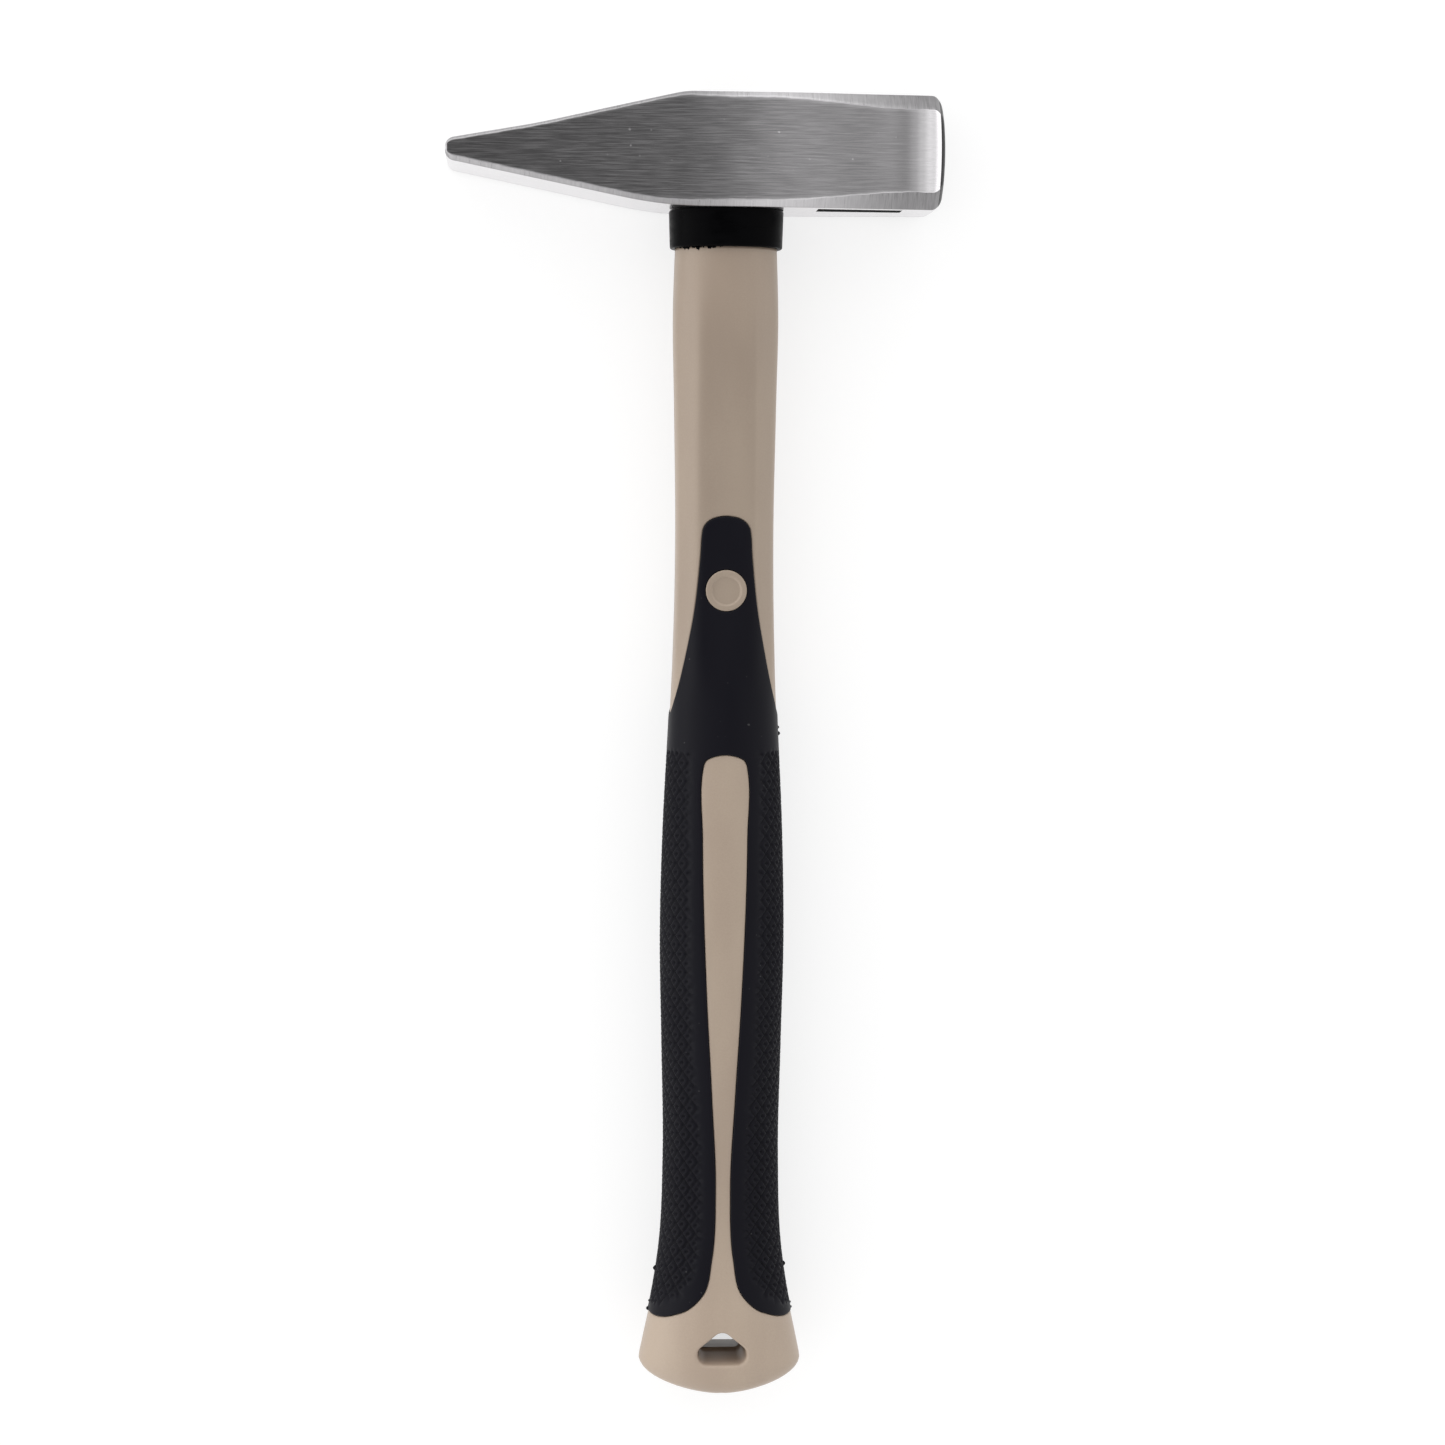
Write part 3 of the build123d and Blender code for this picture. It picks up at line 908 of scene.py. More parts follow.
# %% The three seams
tongue = seam(tongue_crown, tongue_flank, tongue_meets_side)
window = seam(window_crown, window_flank + lobe_curve, lobe_meets_side)
boss = boss_line()
print("seams:", len(tongue), len(window), len(boss), "points")

# %% [markdown]
# ## Triangles that follow the seams
#
# A plain grid of quads would cut across the seams and leave saw teeth. A constrained Delaunay
# triangulation takes any points and lines, and keeps every line as edges of the mesh. So each
# seam, lip and groove is handed over as a line, the space between is filled with scattered
# points, and triangles outside the outlines are dropped afterwards.


# %% Tests on the unrolled sheet
def inside(points, outline):
    """Which points lie in a closed outline, by counting crossings."""
    x, y = points[:, 0], points[:, 1]
    found = np.zeros(len(points), bool)
    for (x0, y0), (x1, y1) in zip(outline, np.roll(outline, -1, axis=0)):
        if y0 != y1:
            crosses = (y0 > y) != (y1 > y)
            found ^= crosses & (x < x0 + (y - y0) / (y1 - y0) * (x1 - x0))
    return found


def distance(points, line):
    """Distance of each point from a line that is continued past the sheet's edges."""
    line = mirrored_ends(line)
    start, step = line[:-1], np.diff(line, axis=0)
    nearest = np.full(len(points), np.inf)
    for origin, along in zip(start, step):
        share = np.clip((points - origin) @ along / max(along @ along, 1e-12), 0, 1)
        nearest = np.minimum(nearest, np.hypot(*(points - origin - share[:, None] * along).T))
    return nearest


# %% Triangles on the unrolled sheet
def edge_of_sheet(at_side, marks, start, end, step):
    """A line down one edge of the sheet, with a point at every mark and about every step."""
    marks = np.unique(np.round([start, end, *[m for m in marks if start < m < end]], 5))
    marks = marks[np.concatenate([[True], np.diff(marks) > 0.01])]
    runs = []
    for low, high in zip(marks, marks[1:]):
        runs.append(np.linspace(low, high, max(1, int(np.ceil((high - low) / step))), endpoint=False))
    m = np.append(np.concatenate(runs), end)
    return np.column_stack([np.zeros(len(m)) if at_side else width_at(m), m])


def triangulated(lines, loose):
    """Triangles between points, with every line kept as edges."""
    points, edges = [], []
    for line in lines:
        edges += [(len(points) + i, len(points) + i + 1) for i in range(len(line) - 1)]
        points += list(map(tuple, line))
    points += list(map(tuple, loose))
    made = delaunay_2d_cdt([Vector(p) for p in points], edges, [], 0, 1e-4)
    return np.array([tuple(p) for p in made[0]]), np.array([tuple(f) for f in made[2]])


def scattered(step_s, step_m, start, end):
    """A staggered grid of points over the sheet."""
    points = []
    for k, m in enumerate(np.arange(start, end, step_m)):
        s = np.arange(step_s * (0.5 + 0.5 * (k % 2)), width_at(m) - 0.4 * step_s, step_s)
        points.append(np.column_stack([s, np.full(len(s), m)]))
    return np.concatenate(points)


def closed_outline(line):
    """A line from the middle line and back to it, closed well outside the sheet."""
    outside = width_at(line[[-1, 0], 1]) + 5
    return np.concatenate([line, np.column_stack([outside, line[[-1, 0], 1]])])


def zone_between(upper_line, lower_line):
    """The outline of the grip's zone, closed well outside the sheet at both of its edges."""
    beside = [(-5, upper_line[-1, 1]), (-5, lower_line[-1, 1])]
    return closed_outline(np.concatenate([upper_line, beside, lower_line[::-1]]))


grip_outline = zone_between(tongue, window)
boss_outline = closed_outline(boss)
print("outlines: grip", len(grip_outline), "points, boss", len(boss_outline), "points")

# %% [markdown]
# ## The jacket
#
# The jacket is one moulding: the neck, the boss, the window and the butt lie at the surface, and
# where the grip lies it is cut back into a pocket. On the sheet that is one triangulation with
# two levels. Triangles outside the grip stay at the surface, those inside it sink to the
# pocket's floor, and a wall joins the two along the seam.

# %% Levels of the jacket
pocket_depth, seam_round = 1.8, 0.4
grip_proud, boss_proud = 0.3, 0.35
boss_top = waist_depth / 2 + grip_proud + boss_proud
boss_rim, boss_dish, boss_round = 1.4, 0.4, 0.3
hole_floor = butt_reach - 7.9
hole_half_width, hole_height = 5.95, 7.7
hole_corner, hole_crown, hole_draft = 2.4, 2.5, radians(3.9)


def quarter_round(depth_in, radius):
    """How far a rounded edge of that radius has dropped, depth_in from where the wall begins."""
    lean = (radius - depth_in).clip(0, radius)
    return radius - np.sqrt(radius**2 - lean**2)


# %% The hang hole's outline
def hole_line(shrink=0.0, steps=(10, 26, 12, 14)):
    """Half of the hang hole's outline in x and reach: crown, flank, corner and floor."""
    crown = (0.0, hole_floor - hole_height + hole_crown)
    corner = (hole_half_width - hole_corner, hole_floor - hole_corner)
    span = (corner[0] - crown[0], corner[1] - crown[1])
    lean = np.arccos((hole_crown - hole_corner) / hypot(*span))
    tangent = np.degrees(np.arctan2(span[1], span[0]) - lean)
    crown_arc = arc_points(crown, hole_crown - shrink, -90, tangent, steps[0])
    corner_arc = arc_points(corner, hole_corner - shrink, tangent, 90, steps[1])
    flank = np.linspace(crown_arc[-1], corner_arc[0], steps[2])[1:-1]
    bottom = np.linspace(corner_arc[-1], (0.0, corner_arc[-1][1]), steps[3])[1:]
    return np.concatenate([crown_arc, flank, corner_arc, bottom])


hole_drawn = hole_line()
hole = unrolled(hole_drawn[:, 0].clip(0), hole_drawn[:, 1])
hole[0, 0], hole[-1, 0] = width_at(hole[0, 1]), width_at(hole[-1, 1])
hole_outline = closed_outline(hole)
print("hang hole:", 2 * hole_half_width, "by", hole_height, "mm at the face,", len(hole), "points")


# %% Rings beside the seams and on the boss
def ring_lines(line, offsets):
    """Parallels of a line at several offsets."""
    return [parallel(line, offset) for offset in offsets]


def boss_rings():
    """Half circles on the boss, closer together where its rim turns."""
    radii = (4.78, 4.69, 4.58, 4.3, 3.95, 3.75, 3.6, 3.45, 3.3, 3.1, 2.5, 1.7, 0.9)
    found = []
    for radius in radii:
        drawn = arc_points((0, boss_reach), radius, -90, 90, max(8, int(pi * radius / 0.4)))
        found.append(unrolled(drawn[:, 0].clip(0), drawn[:, 1]))
    return found


# %% Lines and loose points of the jacket's sheet
body_round = (0.06, 0.15, 0.27, 0.4)
body_lines = [tongue, window, boss, hole]
body_lines += ring_lines(tongue, body_round) + ring_lines(window, [-d for d in body_round])
body_lines += boss_rings() + ring_lines(hole, (0.12, 0.3, 0.55, 0.8, 1.2))
top_s = np.linspace(0, width_at(collar_bottom), 30)
top_line = np.column_stack([top_s, np.full(len(top_s), collar_bottom)])
side_marks = [line[k, 1] for line in body_lines for k in (0, -1) if line[k, 0] < 0.01]
face_marks = [line[k, 1] for line in body_lines for k in (0, -1) if line[k, 0] > 0.5]
side_edge = edge_of_sheet(True, side_marks, collar_bottom, m_end, 1.3)
face_edge = edge_of_sheet(False, face_marks, collar_bottom, m_end, 1.3)
seam_lines = [tongue, window, boss]
neck_fill = scattered(0.55, 1.5, collar_bottom + 0.7, tongue_meets_side)
butt_fill = scattered(0.9, 1.0, window_reach, m_end - 0.5)
pocket_fill = scattered(2.0, 2.4, tongue_reach, lobe_meets_side + 1)
in_pocket = inside(pocket_fill, grip_outline)
neck_fill = neck_fill[~inside(neck_fill, grip_outline)]
butt_fill = butt_fill[~inside(butt_fill, grip_outline)]
pocket_fill = pocket_fill[in_pocket]
butt_fill = butt_fill[(butt_fill[:, 1] > tongue_meets_side + 5) & (distance(butt_fill, hole) > 1.6)]
butt_fill = butt_fill[~inside(butt_fill, hole_outline)]
neck_fill = neck_fill[neck_fill[:, 1] < tongue_meets_side]
loose = np.concatenate([neck_fill, butt_fill])
loose = loose[np.minimum(distance(loose, tongue), distance(loose, window)) > 0.45]
pocket_fill = pocket_fill[np.minimum.reduce([distance(pocket_fill, line) for line in seam_lines]) > 0.8]
loose = np.concatenate([loose, pocket_fill])
print("jacket:", len(body_lines), "lines and", len(loose), "loose points")

# %% The jacket's sheet
sheet, triangles = triangulated([*body_lines, top_line, side_edge, face_edge], loose)
sheet_outline = np.concatenate([side_edge, face_edge[::-1]])
centres = sheet[triangles].mean(axis=1)
kept = inside(centres, sheet_outline) & ~inside(centres, hole_outline)
triangles, centres = triangles[kept], centres[kept]
sunk = inside(centres, grip_outline) & ~inside(centres, boss_outline)
print("jacket sheet:", len(sheet), "points", len(triangles), "triangles", sunk.sum(), "in the pocket")

# %% The jacket's levels
seam_gap = np.minimum(distance(sheet, tongue), distance(sheet, window))
height = -quarter_round(seam_gap, seam_round)
hole_gap = distance(sheet, hole)
hole_round = 0.3 + 0.5 * eased(sheet[:, 1], hole[0, 1], hole[-1, 1])
height -= quarter_round(hole_gap, hole_round)
parting_ridge, mould_line = 0.05, 0.05
ridge_fade = 1 - eased(sheet[:, 1], m_end - 9.0, m_end - 3.0)
height += np.where(sheet[:, 0] < 0.005, parting_ridge * ridge_fade, 0.0)
below_hole = (sheet[:, 1] > hole[-1, 1] + 1) & (width_at(sheet[:, 1]) - sheet[:, 0] < 0.005)
height[below_hole] -= mould_line
surface = rolled(*sheet.T, height)
floor_points = rolled(*sheet.T, np.full(len(sheet), -pocket_depth))
on_boss = inside(sheet, boss_outline) | (distance(sheet, boss) < 0.01)
boss_centre = np.array([0, -boss_reach])
from_centre = np.hypot(*(surface[:, :2] - boss_centre).T)
dish = boss_dish * (1 - eased(from_centre, boss_radius - boss_rim - 0.25, boss_radius - boss_rim + 0.3))
boss_level = boss_top - dish - quarter_round(boss_radius - from_centre, boss_round)
surface[on_boss, 2] = boss_level[on_boss]
print("boss top:", round(surface[on_boss, 2].max(), 2), "mm above the middle of the handle")


# %% The step from the surface to the pocket's floor
def shared_edges(first, second):
    """Edges that a triangle of one group shares with one of the other, as (from, to) in the first."""
    directed = {(f[k], f[(k + 1) % 3]) for f in first.tolist() for k in range(3)}
    reverse = [(f[(k + 1) % 3], f[k]) for f in second.tolist() for k in range(3)]
    return [edge for edge in reverse if edge in directed]


count = len(sheet)
body_points = [*surface, *floor_points]
body_faces = [*triangles[~sunk].tolist(), *(triangles[sunk] + count).tolist()]
seam_edges = shared_edges(triangles[~sunk], triangles[sunk])
body_faces += [(i, j, j + count, i + count) for i, j in seam_edges]
print("pocket wall:", len(seam_edges), "faces")


# %% The hang hole's wall
def join_rings(points, faces, ring_list, first=None):
    """Adds rings of points and the quads between them. first holds indices of a ring that is there."""
    last = first
    for points_of_ring in ring_list:
        here = list(range(len(points), len(points) + len(points_of_ring)))
        points.extend(points_of_ring)
        if last is not None:
            faces += [(last[k], last[k + 1], here[k + 1], here[k]) for k in range(len(here) - 1)]
        last = here
    return last


def nearest_indices(points, line):
    """For every place on the line, the index of the point that lies there."""
    return [int(np.argmin(np.hypot(*(points - place).T))) for place in line]


rim_ring = nearest_indices(sheet, hole)
rim_z = surface[rim_ring, 2]
flash_height, flash_proud = 0.22, 0.3
wall_rings = []
for share in (0.25, 0.5, 0.75, 1.0):
    z = rim_z * (1 - share) + flash_height * share
    shrink = (half_thickness - z.mean()) * tan(hole_draft)
    drawn = hole_line(shrink)
    wall_rings.append(np.column_stack([drawn[:, 0], -drawn[:, 1], z]))
drawn = hole_line(half_thickness * tan(hole_draft) + flash_proud)
wall_rings.append(np.column_stack([drawn[:, 0], -drawn[:, 1], np.zeros(len(drawn))]))
for ring_points in wall_rings:
    ring_points[[0, -1], 0] = 0.0
join_rings(body_points, body_faces, wall_rings, rim_ring)
print("hole wall:", len(wall_rings), "rings of", len(rim_ring), "points")

# %% The spigot that fills the collar
spigot_half_width, spigot_half_depth = 11.2, 9.4
top_ring = nearest_indices(sheet, top_line)
spigot_turns = np.linspace(1e-9, pi / 2 - 1e-9, len(top_ring))
spigot_x, spigot_z = section_points(spigot_half_width, spigot_half_depth, 0.0, spigot_turns)
spigot_z[0], spigot_x[-1] = 0.0, 0.0
spigot_rings = [
    np.column_stack([spigot_x * shrink, np.full(len(top_ring), -reach), spigot_z * shrink])
    for shrink, reach in ((1, collar_bottom), (1, collar_top), (0, collar_top))
]
join_rings(body_points, body_faces, spigot_rings, top_ring)
print("spigot:", round(collar_bottom - collar_top, 1), "mm long")


# %% Four quarters, and the rod's pocket
def four_quarters(points, faces):
    """The quarter and its three mirror images, lifted to the middle of the head's thickness."""
    points = np.asarray(points)
    count = len(points)
    signs = [(1, 1), (-1, 1), (-1, -1), (1, -1)]
    every = np.concatenate([points * (sx, 1, sz) + (0, 0, middle) for sx, sz in signs])
    return every, [tuple(i + k * count for i in face) for k in range(4) for face in faces]


def rod_cutter():
    """The rod's pocket: a slot with round ends, open at the top of the jacket."""
    low, high = millimetres("fibreglass_core")
    radius = (high[2] - low[2]) / 2
    straight_half = (high[0] - low[0]) / 2 - radius
    turns = np.radians(np.linspace(-90, 90, 17))
    right = [(straight_half + radius * cos(a), radius * sin(a)) for a in turns]
    outline = right + [(-x, -z) for x, z in right]
    points = [(x, y, middle + z) for y in (1 - collar_top, low[1]) for x, z in outline]
    count = len(outline)
    ends = [tuple(range(count)), tuple(range(count, 2 * count))]
    return piece("rod_cutter", points, grid_faces(2, count) + ends, [])


# %% [markdown]
# The jacket's plastic is warm, pale and a little glossy. One flat colour would look like paint,
# so it drifts slowly along the way the melt flowed, with a fine speck on top. On the neck the
# faces that face up get painted shade, the facets half as much, so they are darker than the
# flanks, and the butt gets painted light, a shade lighter. A painted map could say the same, but
# the surface's own direction and place need no map and stay sharp at any size.


# %% Finish of the jacket
def jacket_plastic():
    """Warm pale plastic, with painted shade on the neck's up-facing faces and facets and painted light at
    the butt.
    """
    made, tree, shader = finish("jacket_plastic", Roughness=0.42)
    shader.inputs["Specular IOR Level"].default_value = 0.45
    flow = metres_noise(tree, (60, 18, 60), detail=3.0)
    speck = metres_noise(tree, (2500, 2500, 2500), detail=1.0)
    tone = math(tree, "ADD", math(tree, "MULTIPLY", flow, 0.8), math(tree, "MULTIPLY", speck, 0.2))
    tone = ranged(tree, tone, 0.3, 0.7, 0.0, 1.0)
    plastic = mixed(tree, tone, (0.347, 0.272, 0.213, 1), (0.400, 0.320, 0.249, 1))
    place = add(tree, "ShaderNodeSeparateXYZ", {0: add(tree, "ShaderNodeTexCoord").outputs["Object"]})
    # Painted shade: faces of the neck that face up are darkened, the facets half as much and less near
    # the collar; the butt is painted lighter.
    facing = add(tree, "ShaderNodeSeparateXYZ", {0: add(tree, "ShaderNodeNewGeometry").outputs["Normal"]})
    upward = math(tree, "ABSOLUTE", facing.outputs["Z"])
    facet_painted_shade = ranged(tree, upward, 0.3, 0.6, 0.0, 0.5)
    flat = math(tree, "ADD", ranged(tree, upward, 0.88, 0.985, 0.0, 0.5), facet_painted_shade)
    past_grip = ranged(tree, place.outputs["Y"], -0.135, -0.110, 0.0, 0.17)
    near_collar = ranged(tree, place.outputs["Y"], -0.050, -0.030, 0.0, 0.10)
    neck_painted_shade = math(tree, "SUBTRACT", past_grip, near_collar)
    butt_painted_light = ranged(tree, place.outputs["Y"], -0.280, -0.250, 1.13, 1.0)
    painted_shading = math(tree, "SUBTRACT", butt_painted_light, math(tree, "MULTIPLY", flat, neck_painted_shade))
    colour = add(tree, "ShaderNodeVectorMath", {0: plastic, "Scale": painted_shading}, operation="SCALE").outputs[0]
    link(tree, colour, shader, "Base Color")
    link(tree, ranged(tree, flow, 0.3, 0.7, 0.36, 0.46), shader, "Roughness")
    skin = metres_noise(tree, (1500, 1500, 1500), detail=2.0)
    link(tree, bump(tree, skin, 0.000006), shader, "Normal")
    return made


# %% The jacket
every_point, every_face = four_quarters(body_points, body_faces)
jacket = piece("handle_jacket", every_point, every_face, [jacket_plastic()])
cut(jacket, rod_cutter())
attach(jacket, "root")
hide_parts("handle_body")

# %% [markdown]
# ## The soft grip
#
# The grip lies in the jacket's pocket and stands three tenths of a millimetre proud of it, with
# a small round lip. Its flanks are knurled: two families of fine grooves cross and leave
# diamonds, and every diamond has a pit in its middle. A bump map would look the same from above,
# but at the handle's outline the grooves show as small notches, so here they are cut into the
# mesh. A lattice of points that fits the diamonds, ten steps to each, puts every groove on an
# edge. Near the border of the knurl the cut is shallower.

# %% Sizes of the knurl
lip_round, grip_clearance = 0.35, 0.03
diamond_round, diamond_down = 3.66, 4.33
diamond_steps = 10
groove_depth, groove_half_steps = 0.78, 1.5
pit_depth, pit_radius = 0.90, 0.62
border_share, border_band = 0.65, 4.0
first_pit = butt_reach - 127.85
knurl_border = [
    (8.4, 154.1),
    (8.5, 128.0),
    (8.3, 106.0),
    (6.9, 76.0),
    (5.5, 58.0),
    (5.3, 45.0),
    (6.3, 33.3),
    (9.0, 25.6),
]
knurl_meets_side = butt_reach - 21.5
print("diamonds:", diamond_round, "mm round the handle and", diamond_down, "mm down it")


# %% The knurled zone, its depth and its lattice
def knurl_outline():
    """The knurled zone on the sheet, closed beyond the parting line."""
    drawn = np.array(from_rises(knurl_border))
    border = unrolled(drawn[:, 0], drawn[:, 1])
    smooth = spline([*border, (0.35 * border[-1, 0], knurl_meets_side + 0.4), (0.0, knurl_meets_side)])
    return np.concatenate([[(-1.0, smooth[0, 1])], smooth, [(-1.0, knurl_meets_side)]])


def knurl(places):
    """How deep the knurl is cut at places on the sheet."""
    turn, fall = places[:, 0] / diamond_round, (places[:, 1] - first_pit) / diamond_down + 0.5
    gaps = [np.abs(line - np.round(line)) * diamond_steps for line in (turn + fall, turn - fall)]
    groove = groove_depth * (1 - np.minimum(*gaps) / groove_half_steps).clip(0)
    to_pit = [np.abs(line - np.floor(line) - 0.5) for line in (turn + fall, turn - fall)]
    across = (to_pit[0] + to_pit[1]) / 2 * diamond_round
    down = np.abs(to_pit[0] - to_pit[1]) / 2 * diamond_down
    pit = pit_depth * (1 - np.hypot(across, down) / pit_radius).clip(0)
    return np.maximum(groove, pit)


def lattice(outline):
    """Lattice points in the zone, and the edges along the grooves and just beside them."""
    step_s, step_m = diamond_round / diamond_steps, diamond_down / diamond_steps
    start = first_pit - diamond_down / 2
    low, high = outline[:, 1].min(), outline[:, 1].max()
    b = np.arange(int((low - start) / step_m), int((high - start) / step_m) + 2)
    a = np.arange(0, int(outline[:, 0].max() / step_s) + 2)
    grid_a, grid_b = (g.ravel() for g in np.meshgrid(a, b))
    places = np.column_stack([grid_a * step_s, start + grid_b * step_m])
    kept = inside(places, outline)
    grid_a, grid_b, places = grid_a[kept], grid_b[kept], places[kept]
    index = {(i, j): k for k, (i, j) in enumerate(zip(grid_a.tolist(), grid_b.tolist()))}
    lines = []
    for (i, j), k in index.items():
        for step in (1, -1):
            near = (i - step * j) % diamond_steps in (0, 1, diamond_steps - 1)
            if near and (i + 1, j + step) in index:
                lines.append(places[[k, index[(i + 1, j + step)]]])
    return places, lines


knurled = knurl_outline()
lattice_points, groove_lines = lattice(knurled)
print("knurl:", len(lattice_points), "lattice points", len(groove_lines), "groove edges")

# %% Lines of the grip's sheet
lip_steps = (0.05, 0.12, 0.22, 0.35)
tongue_border = parallel(tongue, -grip_clearance)
window_border = parallel(window, grip_clearance)
boss_border = parallel(boss, grip_clearance)
borders = [tongue_border, window_border, boss_border]
lips = ring_lines(tongue, [-grip_clearance - d for d in lip_steps])
lips += ring_lines(window, [grip_clearance + d for d in lip_steps])
lips += ring_lines(boss, [grip_clearance + d for d in lip_steps])


def grip_edges(lines, extra, step):
    """The grip's own stretches of the sheet's two edges."""
    marks_side = [line[k, 1] for line in lines for k in (0, -1) if line[k, 0] < 0.01] + list(extra)
    marks_face = [line[k, 1] for line in lines for k in (0, -1) if line[k, 0] > 0.5]
    return [
        edge_of_sheet(True, marks_side, tongue_border[-1, 1], window_border[-1, 1], step),
        edge_of_sheet(False, marks_face, tongue_border[0, 1], boss_border[0, 1], step),
        edge_of_sheet(False, marks_face, boss_border[-1, 1], window_border[0, 1], step),
    ]


# %% The grip's sheet
def grip_sheet(lines, groove_edges, loose, extra, step):
    """Triangles of the grip's zone, without the boss."""
    edges = grip_edges(lines + borders, extra, step)
    places, triangles = triangulated([*borders, *lines, *groove_edges, *edges], loose)
    centres = places[triangles].mean(axis=1)
    side, above_boss, below_boss = edges
    outline = [tongue_border[::-1], above_boss, boss_border, below_boss, window_border, side[::-1]]
    keep = inside(centres, zone_between(tongue_border, window_border))
    keep &= ~inside(centres, closed_outline(boss_border)) & inside(centres, np.concatenate(outline))
    return places, triangles[keep]


smooth_fill = scattered(0.8, 0.9, tongue_reach, lobe_meets_side + 1.5)
smooth_fill = smooth_fill[inside(smooth_fill, grip_outline)]
clear = np.minimum.reduce([distance(smooth_fill, line) for line in borders]) > 0.75
smooth_fill = smooth_fill[clear & ~inside(smooth_fill, boss_outline)]
smooth_fill = smooth_fill[~inside(smooth_fill, knurled) & (distance(smooth_fill, knurled[1:-1]) > 0.45)]
side_lattice = lattice_points[lattice_points[:, 0] < 0.01, 1]
top_sheet, top_triangles = grip_sheet(
    lips, groove_lines, np.concatenate([lattice_points, smooth_fill]), side_lattice, 1.0
)
low_sheet, low_triangles = grip_sheet([], [], pocket_fill, [], 3.0)
print("grip sheet:", len(top_triangles), "triangles on top,", len(low_triangles), "below")

# %% The grip's levels
edge_gap = np.minimum.reduce([distance(top_sheet, line) for line in borders])
lift = grip_proud - quarter_round(edge_gap, lip_round)
in_knurl = inside(top_sheet, knurled)
knurl_places = top_sheet[in_knurl]
from_border = distance(knurl_places, knurled[1:-1])
fade = border_share + (1 - border_share) * eased(from_border, 0.0, border_band)
lift[in_knurl] -= knurl(knurl_places) * fade
lift[top_sheet[:, 0] < 0.005] += parting_ridge
upper = rolled(*top_sheet.T, lift)
lower = rolled(*low_sheet.T, np.full(len(low_sheet), grip_clearance - pocket_depth))
print("knurl depth: up to", round((grip_proud - lift).max(), 2), "mm below the grip's skin")


# %% The grip's walls
def rim_edges(places, triangles):
    """Edges with one triangle only, apart from those along the sheet's own two edges."""
    directed = {(f[k], f[(k + 1) % 3]) for f in triangles.tolist() for k in range(3)}
    at_side = places[:, 0] < 1e-3
    at_face = width_at(places[:, 1]) - places[:, 0] < 5e-3
    return [
        (i, j)
        for i, j in directed
        if (j, i) not in directed and not (at_side[i] and at_side[j]) and not (at_face[i] and at_face[j])
    ]


def walls_between(top, top_triangles, low, low_triangles):
    """Quads from the rim of the upper sheet to the same places on the rim of the lower one."""
    rim = rim_edges(low, low_triangles)
    ends = sorted({i for edge in rim for i in edge})
    found = {tuple(np.round(low[i], 3)): i for i in ends}
    quads = []
    for i, j in rim_edges(top, top_triangles):
        below = [found.get(tuple(np.round(top[k], 3))) for k in (i, j)]
        if None in below:
            print("no point below", top[i], top[j])
            continue
        quads.append((i, j, below[1] + len(top), below[0] + len(top)))
    return quads


grip_points = np.concatenate([upper, lower])
grip_faces = top_triangles.tolist() + (low_triangles + len(top_sheet)).tolist()
grip_faces += walls_between(top_sheet, top_triangles, low_sheet, low_triangles)


# %% [markdown]
# The rubber is almost black and soft, with a weak and broad shine. What makes black rubber
# look real is that it is never clean, so a few pale specks of dust lie on it. They are noise
# too, cut off so high that only its rare peaks are left.


# %% Finish of the grip
def grip_rubber():
    """Dull black rubber with a few pale specks of dust."""
    made, tree, shader = finish("grip_rubber", Roughness=0.55)
    shader.inputs["Specular IOR Level"].default_value = 0.14
    grain = metres_noise(tree, (3000, 3000, 3000), detail=2.0)
    cloud = metres_noise(tree, (90, 30, 90), detail=3.0)
    specks = metres_noise(tree, (1100, 1100, 1100), detail=0.0, offset=(4, 2, 7))
    dust = ranged(tree, specks, 0.86, 0.90, 0.0, 0.3)
    colour = mixed(tree, cloud, (0.0018, 0.0016, 0.0046, 1), (0.0034, 0.0031, 0.0066, 1))
    link(tree, mixed(tree, dust, colour, (0.12, 0.12, 0.12, 1)), shader, "Base Color")
    link(tree, ranged(tree, cloud, 0.3, 0.7, 0.42, 0.52), shader, "Roughness")
    link(tree, bump(tree, grain, 0.00001), shader, "Normal")
    return made


# %% The grip
every_point, every_face = four_quarters(grip_points, grip_faces)
grip = piece("soft_grip", every_point, every_face, [grip_rubber()])
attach(grip, "root")
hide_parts("rubber_grip")

# %% [markdown]
# ## What the moulds and the resin left behind
#
# Two small things tell how the hammer was made. Black resin was squeezed out under the collar
# and set as a ragged edge on the jacket. Where the mould's halves met, a little rubber crept out
# and left nubs on the parting line. Both could be painted on, but they break the outline, so
# they are thin shells and small lumps that sit on the surface made above.

# %% The ragged resin
collar_finish = collar.data.materials[0]


def ragged_resin(name, first, last, side, face):
    """A thin shell from the collar's lower edge down the jacket, from one place round it to another."""
    s = np.linspace(first, last, 70)
    ends = np.sin(np.linspace(0, pi, len(s))) ** 0.4
    torn = 0.32 + 0.3 * np.sin(1.9 * s) + 0.22 * np.sin(4.7 * s + 1) + 0.15 * np.sin(11 * s)
    low_m = collar_bottom + 0.05 + torn.clip(0) * ends
    top_m = np.full(len(s), collar_bottom + 0.01)
    levels = ((top_m, 0.30), (low_m, 0.10), (low_m, -0.04), (top_m, -0.04))
    rows = [rolled(s, m, level) for m, level in levels]
    points = np.concatenate(rows) * (side, 1, face) + (0, 0, middle)
    count = len(s)
    faces = grid_faces(4, count, closed=False)
    faces += [(3 * count + j, 3 * count + j + 1, j + 1, j) for j in range(count - 1)]
    faces.append((0, count, 2 * count, 3 * count))
    faces.append((count - 1, 4 * count - 1, 3 * count - 1, 2 * count - 1))
    made = piece(name, points, faces, [collar_finish], weld=0.0)
    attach(made, "root")


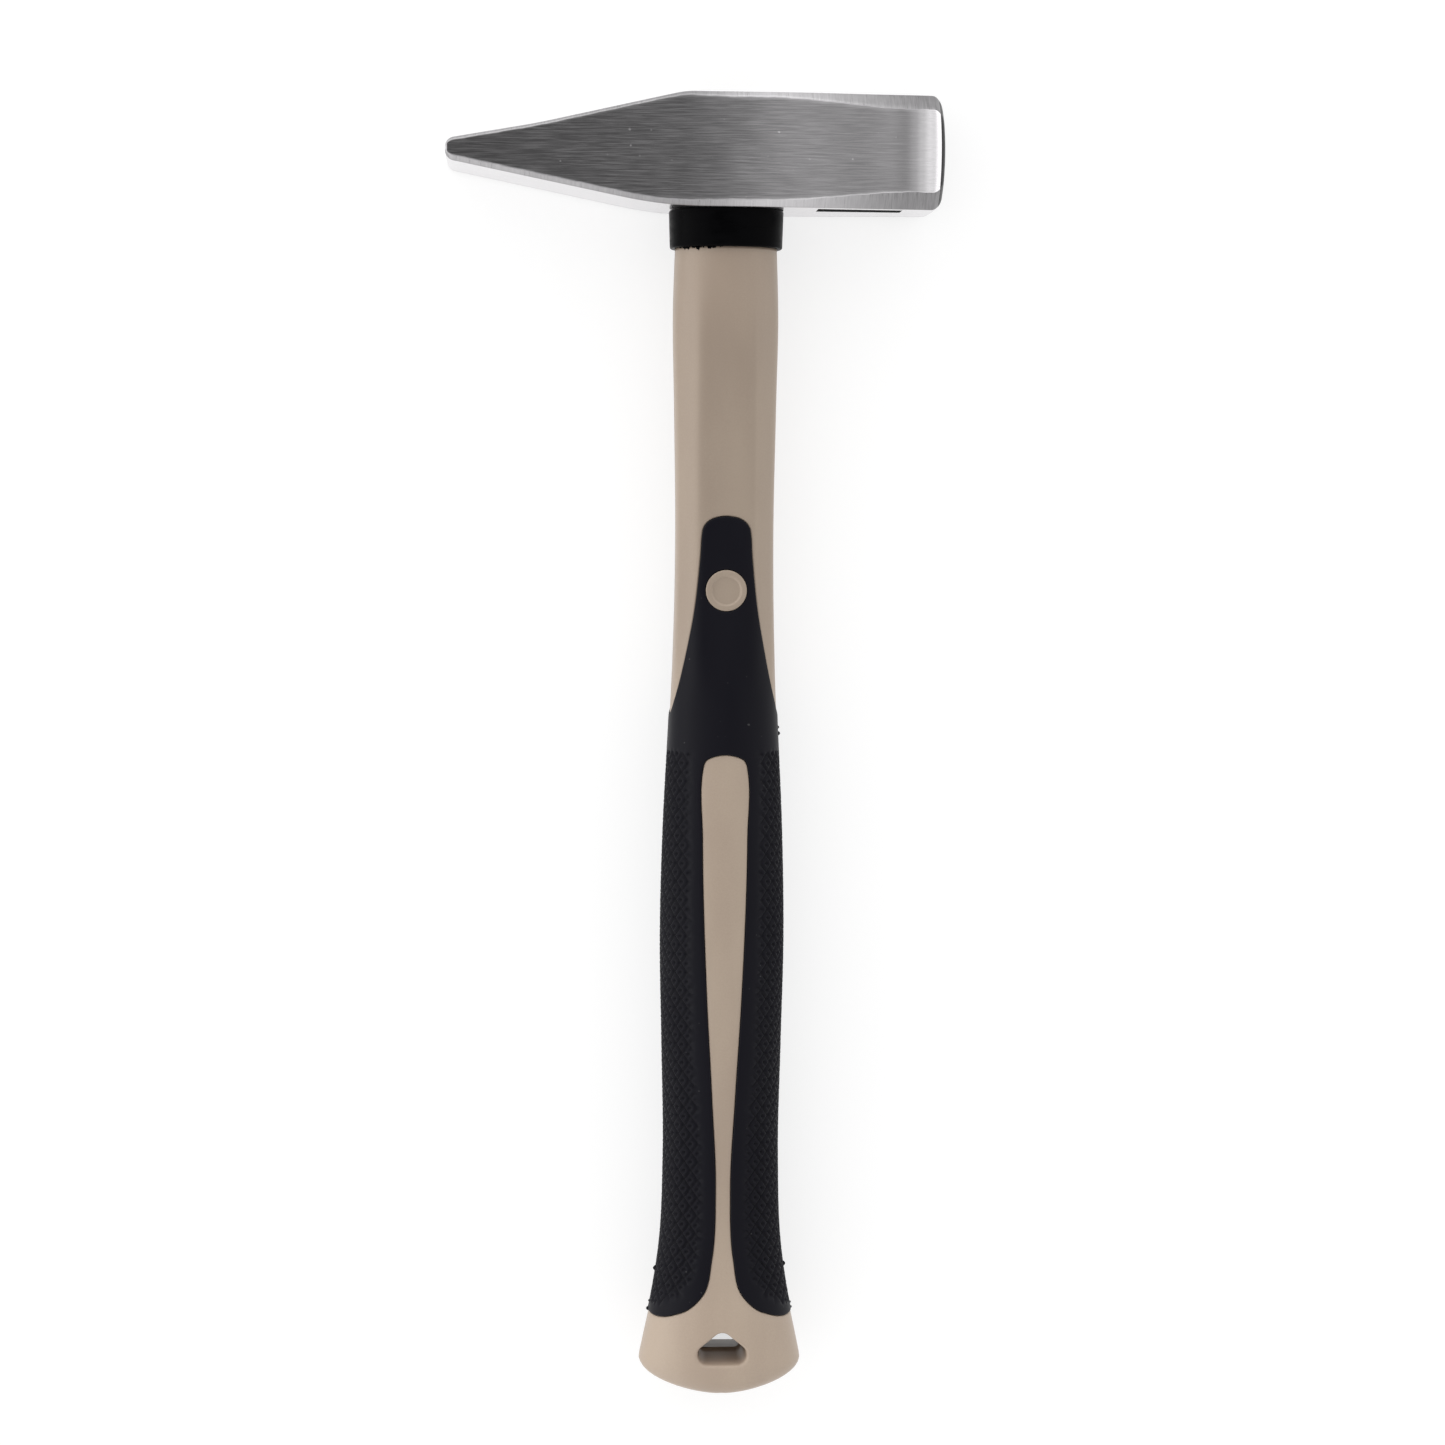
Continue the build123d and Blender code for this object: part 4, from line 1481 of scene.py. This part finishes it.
quarter_width = width_at(collar_bottom)
ragged_resin("ragged_resin_above", 0.25 * quarter_width, 0.93 * quarter_width, -1, 1)
ragged_resin("ragged_resin_below", 0.30 * quarter_width, 0.70 * quarter_width, 1, -1)

# %% The nubs on the parting line
rubber_finish = grip.data.materials[0]
nubs = [
    (-1, 28.6, 0.50),
    (-1, 20.6, 0.28),
    (-1, 18.7, 0.40),
    (1, 29.5, 0.45),
    (1, 20.0, 0.28),
    (1, 18.8, 0.28),
    (1, 159.8, 0.32),
    (1, 158.3, 0.46),
]


def nub(side, rise, size):
    """A blunt spike, half sunk in the rubber."""
    made = bmesh.new()
    bmesh.ops.create_icosphere(made, subdivisions=3, radius=1.0)
    seat = rolled([0.0], [np.interp(butt_reach - rise, row_reach, row_m)], grip_proud)[0]
    for vertex in made.verts:
        x, y, z = vertex.co
        lumpy = 1 + 0.10 * sin(3 * y + 2 * z + rise) + 0.06 * sin(4 * z + 2 * x)
        spike = lumpy * (1 - 0.35 * max(0.0, x))
        vertex.co = (x * 1.1 * size, y * 1.3 * size * spike, z * size * spike)
    points = [(side * (seat[0] + v.co.x), seat[1] + v.co.y, middle + v.co.z) for v in made.verts]
    faces = [[v.index for v in face.verts] for face in made.faces]
    made.free()
    return points, faces


for number, (side, rise, size) in enumerate(nubs, 1):
    made = piece(f"mould_nub_{number}", *nub(side, rise, size), [rubber_finish], weld=0.0)
    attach(made, "root")

# %% [markdown]
# ## The rod and the resin
#
# Two pieces stay as they were packed: the fibreglass rod, whose sawn end shows at the top of the
# eye, and the resin that holds it. Their shapes are right, so each only gets a finish. The rod is
# all straight strands in pale resin, so its noise is stretched along the handle. The poured
# resin is dark, glossy, and dimpled by bubbles.


# %% Finishes of the rod and the resin
def glass_fibre():
    """Pale strands that run along the rod, and end as dots where it is sawn."""
    made, tree, shader = finish("glass_fibre_strands")
    strands = metres_noise(tree, (1800, 30, 1800), detail=3.0)
    ends = metres_noise(tree, (3200, 3200, 3200), detail=2.0)
    tone = math(tree, "ADD", math(tree, "MULTIPLY", strands, 0.7), math(tree, "MULTIPLY", ends, 0.3))
    tone = ranged(tree, tone, 0.35, 0.65, 0.0, 1.0)
    link(tree, mixed(tree, tone, (0.30, 0.27, 0.15, 1), (0.62, 0.57, 0.40, 1)), shader, "Base Color")
    link(tree, ranged(tree, ends, 0.3, 0.7, 0.35, 0.6), shader, "Roughness")
    link(tree, bump(tree, tone, 0.00003), shader, "Normal")
    return made


def poured_resin():
    """Dark glossy resin, dimpled by bubbles."""
    made, tree, shader = finish("poured_resin")
    swirl = metres_noise(tree, (220, 220, 220), detail=4.0)
    bubbles = metres_noise(tree, (1500, 1500, 1500), detail=0.0)
    colour = mixed(tree, swirl, (0.010, 0.009, 0.008, 1), (0.045, 0.040, 0.034, 1))
    link(tree, colour, shader, "Base Color")
    link(tree, ranged(tree, swirl, 0.3, 0.7, 0.16, 0.34), shader, "Roughness")
    link(tree, bump(tree, ranged(tree, bubbles, 0.66, 0.76, 0.0, -1.0), 0.0001), shader, "Normal")
    return made


for name, made in (("fibreglass_core", glass_fibre()), ("eye_resin", poured_resin())):
    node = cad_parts[name]
    for place in node.material_slots:
        place.link = "OBJECT"
        place.material = made
    print(name, "has", len(node.material_slots), "material slots")
